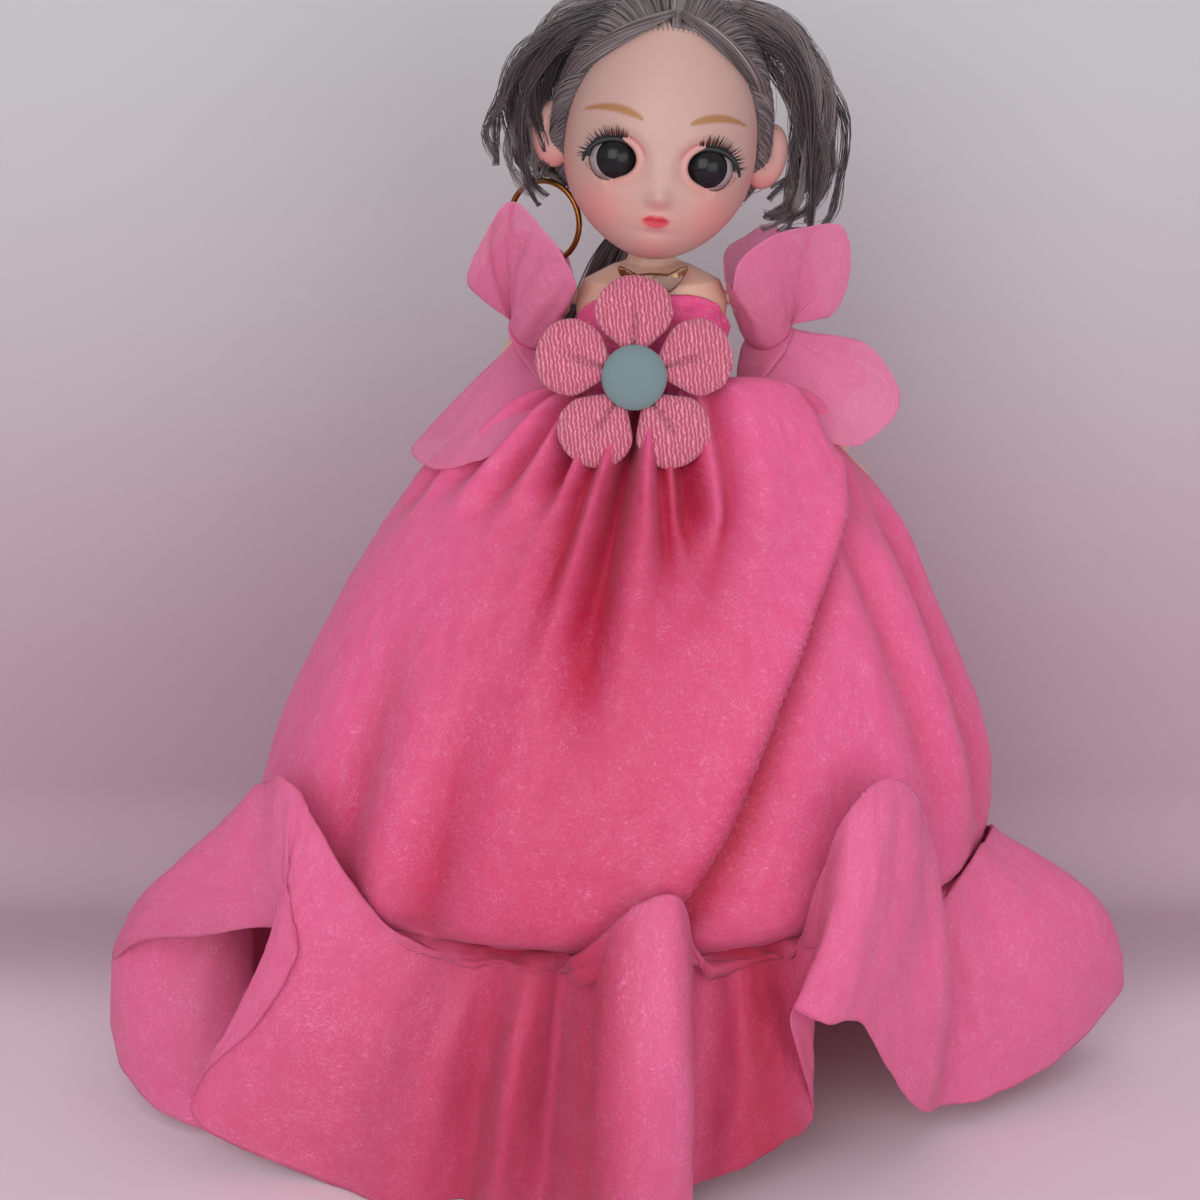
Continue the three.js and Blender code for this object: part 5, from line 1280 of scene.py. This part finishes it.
class DOLL_OT_flounce(bpy.types.Operator):
    """Models the flounce: one long gathered strip whose raw hem opens in wide flutes"""

    bl_idname = "doll.flounce"
    bl_label = "Flounce"

    def execute(self, context):
        settings = context.scene.gown
        net = flounce_net()
        around = np.arange(540) / 540
        down = np.linspace(0, 1, 57)
        lines = smooth_rows(net, around, closed=True)
        points = smooth_rows(np.swapaxes(lines, 0, 1), down)
        turns, shares = np.meshgrid(around, down)
        columns = turns * len(net)
        ripple = 1.7 * ring_noise(turns, shares, 90, 3, 62) * (1 - 0.7 * shares)
        ripple -= 2.6 * (hump(columns, 17.1, 0.45) + hump(columns, 20.3, 0.45))
        ripple += 0.35 * ring_noise(turns, shares, 240, 26, 63)
        normal = unit(np.cross(np.gradient(points, axis=1), -np.gradient(points, axis=0)))
        points = points + normal * (ripple * ease(0, 0.1, shares))[..., None]
        points[-1, :, 2] += 0.5 * soft_noise(around * 256, around * 0, 64)
        points[..., 2] = np.maximum(points[..., 2], LOWEST_HEM)
        flat = (1.0, 0.08)
        piece = cloth_piece("fluted_flounce", points * MM, flat, settings.sheet_thickness)
        names = [f"flounce_{part}" for part in ("front", "left", "back", "right")]
        # Painted shade in the dents and hollows of the front, and under the skirt's hem along the seam
        layers_and_shade = 0.75 * hump(columns, 14.5, 3.0) + 0.9 * hump(columns, 21.6, 1.5)
        layers_and_shade += 0.5 * hump(columns, 17.2, 0.7) + 0.3 * hump(shares, 0, 0.12)
        give_attribute(piece, "layers_and_shade", np.clip(layers_and_shade, 0, 1))
        dress(piece, organza(settings, "single_organza", 0.88, 0.2, 0.32), "organza", "torso", *names)
        return {"FINISHED"}


# Rims of the sleeve ruffles, in millimetres, clockwise or not as the arm needs, from the front inner corner
SLEEVE_RIMS = {
    ("right", "upper"): (
        (-20, -14, 236), (-24, -17, 246), (-30, -15, 253), (-38, -9, 259), (-45, -8, 248), (-50, 2, 235),
        (-47, 15, 237), (-38, 22, 246), (-28, 20, 244), (-22, 6, 242),
    ),
    ("right", "lower"): (
        (-25, -12, 203), (-36, -19, 197), (-46, -20, 191), (-57, -14, 187), (-64, -2, 187), (-66, 10, 189),
        (-58, 22, 188), (-46, 27, 190), (-33, 22, 197), (-26, 6, 204),
    ),
    ("left", "upper"): (
        (21, -13, 236), (23, -15, 244), (30, -16, 250), (39, -12, 252), (50, -9, 252), (54, -3, 238),
        (50, 4, 226), (48, 15, 229), (44, 24, 240), (34, 24, 248), (26, 17, 246), (20, 5, 243),
    ),
    ("left", "lower"): (
        (25, -13, 206), (33, -18, 200), (45, -17, 196), (57, -11, 194), (66, -4, 199), (69, 2, 207),
        (60, 2, 219), (56, 14, 214), (62, 24, 204), (50, 28, 196), (36, 22, 199), (26, 6, 205),
    ),
}
SLEEVE_TIE_AT = 16.0
SLEEVE_TIE_RADIUS, SLEEVE_TIE_THICKNESS = 5.9, 0.7
# How far the ruffles' inner edges lie from the middle of the elastic, outwards and along the arm
RUFFLE_CLEARANCE = 0.9
RUFFLE_SWELL = {"upper": 1.26, "lower": 1.32}
ARM_BACK, ARM_OUT = math.radians(42), math.radians(22)


def arm_frame(side):
    """The frame of an upper arm, in millimetres, with the arm along -Z."""
    shoulder = Vector(JOINTS["left_shoulder_swing"]["pos_m"]) / MM
    place = Matrix.Translation((side * abs(shoulder.x), shoulder.y, shoulder.z))
    return place @ Matrix.Rotation(ARM_BACK, 4, "X") @ Matrix.Rotation(-side * ARM_OUT, 4, "Y")


class DOLL_OT_sleeves(bpy.types.Operator):
    """Models the sleeves: each is gathered by an elastic and opens in an upper and a lower ruffle"""

    bl_idname = "doll.sleeves"
    bl_label = "Sleeves"

    def execute(self, context):
        settings = context.scene.gown
        sheer = organza(settings, "sheer_organza", 0.6, 0.25, 0.8)
        elastic = woven_cloth("sleeve_elastic_cloth", tint("E04488"), 0.4 * MM)
        for name, side in SIDES:
            place = arm_frame(side)
            for part in ("upper", "lower"):
                self.ruffle(name, side, part, place, sheer, settings)
            band = add_primitive(
                "torus", f"{name}_gathering_elastic", major_radius=SLEEVE_TIE_RADIUS,
                minor_radius=SLEEVE_TIE_THICKNESS, major_segments=64, minor_segments=16,
            )
            transform(band, Matrix.Scale(MM, 4) @ place @ Matrix.Translation((0, 0, -SLEEVE_TIE_AT)))
            band.data.shade_smooth()
            dress(band, elastic, "elastic", f"{name}_upper_arm", f"{name}_sleeve_elastic")
        return {"FINISHED"}

    def ruffle(self, name, side, part, place, sheer, settings):
        count = 168
        around, down = np.arange(count) / count, np.linspace(0, 1, 41)
        matrix = np.array(place)
        rim = (np.array(SLEEVE_RIMS[name, part]) - matrix[:3, 3]) @ matrix[:3, :3]
        steps = np.unwrap(np.arctan2(rim[:, 1], rim[:, 0]))
        whole = 2 * math.pi * np.sign(steps[-1] - steps[0])
        corners = np.append(np.arange(len(rim)) / len(rim), 1)
        angles = np.interp(around, corners, np.append(steps, steps[0] + whole))
        radius = SLEEVE_TIE_RADIUS + RUFFLE_CLEARANCE
        level = RUFFLE_CLEARANCE * (1 if part == "upper" else -1) - SLEEVE_TIE_AT
        ring = np.column_stack((radius * np.cos(angles), radius * np.sin(angles), np.full(count, level)))
        edge = smooth_rows(rim, around, closed=True)
        middle = (ring + edge) / 2
        middle[:, :2] *= RUFFLE_SWELL[part]
        shares = down[:, None, None]
        points = ring * (1 - shares) ** 2 + 2 * middle * shares * (1 - shares) + edge * shares ** 2
        turns, runs = np.meshgrid(around, down)
        flute = ring_noise(turns, runs, 26, 1.5, 71 + side) * (0.9 - 0.3 * runs)
        flute += 1.3 * ring_noise(turns, runs, 9, 2, 73 + side) * runs
        fine = 0.16 * ring_noise(turns, runs, 84, 20, 75)
        away = unit(points * (1, 1, 0))
        points = points + away * ((flute + fine) * ease(0, 0.15, runs))[..., None]
        points = points @ matrix[:3, :3].T + matrix[:3, 3]
        if (whole > 0) != (part == "lower"):
            points = points[:, ::-1]
        flat = (0.115, 0.025)
        piece = cloth_piece(f"{name}_{part}_sleeve", points * MM, flat, settings.sheet_thickness * 0.7)
        dress(piece, sheer, "organza", f"{name}_upper_arm", f"{name}_sleeve_{part}_ruffle")


# Flower and charm

FLOWER_CENTRE = (-5.0, -24.5, 214.6)
FLOWER_TILT = 12
PETAL_RING, PETAL_HALF, PETAL_HALF_WIDTH, PETAL_HALF_THICKNESS = 16.6, 10.3, 10.1, 3.5
PETAL_NAMES = ("top", "left", "lower_left", "lower_right", "right")
# The button's half section, round its front and along its shank: radius and depth
BUTTON_DOME = (
    (0.0, -5.6), (3.0, -5.45), (5.6, -5.0), (7.4, -4.2), (8.4, -3.3), (8.6, -2.6), (8.3, -2.0), (7.6, -1.7),
)
BUTTON_SHANK = ((1.6, -1.7), (1.6, 6.5), (0.0, 6.5))


class DOLL_OT_flower(bpy.types.Operator):
    """Models the padded flower of five creased petals and its covered button"""

    bl_idname = "doll.flower"
    bl_label = "Flower"

    def execute(self, context):
        settings = context.scene.gown
        cloth = seersucker(settings)
        place = Matrix.Scale(MM, 4) @ Matrix.Translation(FLOWER_CENTRE) @ turned(-FLOWER_TILT, "X")
        for number, name in enumerate(PETAL_NAMES):
            petal = add_ball(f"padded_petal_{name}", (0, 0, 0), (1, 1, 1), segments=144, rings=72)
            x, y, z = places_of(petal).T
            widen = 1 + 0.12 * z - 0.3 * ease(-0.2, -1.0, z)
            crease = np.exp(-(x / 0.07) ** 2) * ease(0.35, -0.1, z)
            shoulder = np.exp(-(x / 0.3) ** 2) * ease(0.5, -0.3, z)
            plump = np.sign(y) * np.abs(y) ** 0.8
            front = y < 0
            thick = plump * (1 - 0.62 * crease * front - 0.22 * shoulder * front)
            pinch = 1 - 0.25 * np.exp(-(x / 0.16) ** 2) * ease(-0.55, -1.0, z)
            wobble = 1 + 0.03 * soft_noise(4 * x + 9 * number, 4 * z + 5, 81)
            x *= widen * PETAL_HALF_WIDTH * wobble
            z = PETAL_RING + z * pinch * PETAL_HALF
            move_places(petal, np.column_stack((x, thick * PETAL_HALF_THICKNESS, z)))
            transform(petal, turned(-360 * number / len(PETAL_NAMES), "Y"), place)
            dress(petal, cloth, "seersucker", "torso", f"petal_{name}")
        self.button(place, settings)
        return {"FINISHED"}

    def button(self, place, settings):
        rows = smooth_rows(BUTTON_DOME, np.linspace(0, 1, 29)).tolist() + [*BUTTON_SHANK]
        line = new_piece("covered_button", [(radius, depth, 0) for radius, depth in rows], [])
        line.data.edges.add(len(rows) - 1)
        for number, edge in enumerate(line.data.edges):
            edge.vertices = (number, number + 1)
        spin = {"steps": 96, "angle": 2 * math.pi, "center": (0, 0, 0), "axis": (0, 1, 0)}
        edit_mesh(line, (bpy.ops.mesh.spin, spin))
        recalculate(line)
        transform(line, place)
        line.data.shade_smooth()
        weave = woven_cloth("button_cloth", settings.button, 0.34 * MM)
        dress(line, weave, "button_cloth", "torso", "flower_button")


# The right half of the charm's outline, from its chin to the dip between its ears, as shares of its size
CHARM_SHARES = (
    (0.0, 0.0), (0.3, 0.0), (0.5, 0.06), (0.66, 0.22), (0.78, 0.42), (0.95, 0.75), (1.0, 0.98), (0.9, 1.0),
    (0.66, 0.86), (0.42, 0.7), (0.2, 0.74), (0.0, 0.75),
)


class DOLL_OT_charm(bpy.types.Operator):
    """Models the flat enamelled charm with two pointed ears"""

    bl_idname = "doll.charm"
    bl_label = "Charm"

    def execute(self, context):
        low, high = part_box("pendant_charm")
        half, height = (high.x - low.x) / 2, high.z - low.z
        right = [(x * half, low.z + z * height) for x, z in CHARM_SHARES]
        outline = right + [(-x, z) for x, z in reversed(right[1:-1])]
        count = len(outline)
        places = [(x, low.y, z) for x, z in outline] + [(x, high.y, z) for x, z in outline]
        faces = [list(range(count)), list(reversed(range(count, 2 * count)))]
        for place in range(count):
            following = (place + 1) % count
            faces.append([place, place + count, following + count, following])
        charm = new_piece("enamel_charm", places, faces, smooth=False)
        recalculate(charm)
        apply_modifier(
            charm, "BEVEL", width=0.5 * MM, segments=3, limit_method="ANGLE", angle_limit=math.radians(50),
        )
        apply_modifier(charm, "REMESH", mode="VOXEL", voxel_size=0.12 * MM)
        apply_modifier(charm, "SMOOTH", factor=0.5, iterations=6)
        x, y, z = places_of(charm).T
        across, up = x / half, (z - low.z) / height
        facing = ease((low.y + high.y) / 2, low.y, y)
        crown = np.exp(-(across / 0.42) ** 2 - ((up - 0.3) / 0.5) ** 2)
        hollows = hump(np.abs(across), 0.8, 0.09) * hump(up, 0.68, 0.2)
        y -= facing * (0.9 * crown - 0.5 * hollows) * MM
        move_places(charm, np.column_stack((x, y, z)))
        charm.data.shade_smooth()
        brown = enamel("brown_enamel", tint("6A3519"), tint("A88A4E"))
        dress(charm, brown, "charm_enamel", "torso", "pendant_charm")
        return {"FINISHED"}


# Stage. Each lamp: its name, its place and its size in metres, and its power in watts
LAMPS = (
    ("key_softbox", (-0.3, -0.95, 0.55), 0.7, 5.0),
    ("fill_softbox", (0.5, -1.0, 0.22), 0.8, 4.6),
    ("top_softbox", (0.1, -0.1, 1.2), 0.6, 1.0),
)
LAMP_TARGET = Vector((0, 0, 0.17))


class DOLL_OT_stage(bpy.types.Operator):
    """Sets the paper floor and wall, the soft lamps and the camera"""

    bl_idname = "doll.stage"
    bl_label = "Stage"

    def execute(self, context):
        settings = context.scene.stage_look
        self.backdrop(settings)
        self.lamps(context)
        camera = bpy.data.objects.new("camera", bpy.data.cameras.new("camera"))
        context.scene.collection.objects.link(camera)
        camera.location = (settings.camera_shift, -settings.camera_distance, settings.camera_height)
        camera.rotation_euler = (math.pi / 2 - settings.camera_pitch, 0, 0)
        camera.data.lens = settings.focal_length
        camera.data.sensor_fit = "AUTO"
        camera.data.clip_start = 0.01
        camera.data.clip_end = 100
        context.scene.camera = camera
        context.scene.view_settings.view_transform = "Standard"
        return {"FINISHED"}

    def backdrop(self, settings):
        """A floor that rises in a small cove to the wall just behind the doll."""
        wall, cove, wide, near, tall = settings.wall_distance, 0.035, 3.0, 3.0, 2.6
        profile = [(-near, 0.0)]
        profile += [
            (wall - cove + cove * math.sin(turn), cove - cove * math.cos(turn))
            for turn in np.linspace(0, math.pi / 2, 17)
        ]
        profile.append((wall, tall))
        places = [(side * wide, y, z) for y, z in profile for side in (-1, 1)]
        faces = [[2 * step, 2 * step + 1, 2 * step + 3, 2 * step + 2] for step in range(len(profile) - 1)]
        piece = new_piece("paper_backdrop", places, faces)
        piece.data.materials.append(self.paper(settings))

    def paper(self, settings):
        """Smooth matt paper: pale on the floor and grey higher up the wall, with a mauve painted shadow and
        pink painted reflection low on the wall and on the floor just before it.
        """
        material, tree = new_material("matt_paper")
        place = add_node(tree, "TexCoord", {}).outputs["Object"]
        apart = add_node(tree, "SeparateXYZ", {"Vector": place}).outputs
        # The painted shadow and reflection reach forward onto the floor just before the wall
        behind = add_node(tree, "Math", {0: apart["Y"], 1: 0.5}, operation="MULTIPLY")
        height = add_node(tree, "Math", {0: apart["Z"], 1: behind}, operation="ADD")
        colour = settings.floor
        for low, high, following in ((0.01, 0.045, settings.wall_shadow_and_reflection), (0.12, 0.37, settings.wall_high)):
            share = add_node(tree, "MapRange", {
                "Value": height, "From Min": low, "From Max": high,
            }, interpolation_type="SMOOTHSTEP")
            colour = add_node(tree, "Mix", {0: share, 6: colour, 7: following}, data_type="RGBA")
        bump = grain_relief(tree, place, 800, 0.05, 0.05 * MM)
        shader = add_node(tree, "BsdfPrincipled", {
            "Base Color": colour, "Roughness": 0.85, "Specular IOR Level": 0.2, "Normal": bump,
        })
        # The paper's back is clear, so that the doll can be looked at from behind and from below
        back = add_node(tree, "NewGeometry", {}).outputs["Backfacing"]
        clear = add_node(tree, "BsdfTransparent", {})
        return close_material(material, add_node(tree, "MixShader", {0: back, 1: shader, 2: clear}))

    def lamps(self, context):
        world = bpy.data.worlds.new("studio")
        world.use_nodes = True
        tree = world.node_tree
        tree.nodes.clear()
        sky = add_node(tree, "Background", {"Color": (1.0, 0.98, 0.99), "Strength": 0.55})
        add_node(tree, "OutputWorld", {"Surface": sky})
        context.scene.world = world
        for name, spot, size, power in LAMPS:
            light = bpy.data.lights.new(name, "AREA")
            light.energy = power
            light.size = size
            box = bpy.data.objects.new(name, light)
            box.location = spot
            box.rotation_euler = (LAMP_TARGET - Vector(spot)).to_track_quat("-Z", "Y").to_euler()
            context.scene.collection.objects.link(box)


STEPS = (
    DOLL_OT_stage, DOLL_OT_head, DOLL_OT_eyes, DOLL_OT_hair, DOLL_OT_locks, DOLL_OT_earring, DOLL_OT_body,
    DOLL_OT_bodice, DOLL_OT_skirt, DOLL_OT_flounce, DOLL_OT_sleeves, DOLL_OT_flower, DOLL_OT_charm,
)


class DOLL_PT_maker(bpy.types.Panel):
    """Lists the steps that make the doll"""

    bl_idname = "DOLL_PT_maker"
    bl_label = "Doll"
    bl_space_type = "VIEW_3D"
    bl_region_type = "UI"
    bl_category = "Doll"

    def draw(self, context):
        for group in (context.scene.doll, context.scene.gown, context.scene.stage_look):
            for name in group.__annotations__:
                self.layout.prop(group, name)
        for step in STEPS:
            self.layout.operator(step.bl_idname)


CLASSES = (DollSettings, GownSettings, StageSettings, *STEPS, DOLL_PT_maker)


def register():
    for item in CLASSES:
        bpy.utils.register_class(item)
    bpy.types.Scene.doll = PointerProperty(type=DollSettings)
    bpy.types.Scene.gown = PointerProperty(type=GownSettings)
    bpy.types.Scene.stage_look = PointerProperty(type=StageSettings)


def unregister():
    del bpy.types.Scene.stage_look
    del bpy.types.Scene.gown
    del bpy.types.Scene.doll
    for item in reversed(CLASSES):
        bpy.utils.unregister_class(item)


def main():
    register()
    for step in STEPS:
        group, name = step.bl_idname.split(".")
        getattr(getattr(bpy.ops, group), name)()


if __name__ == "__main__":
    main()
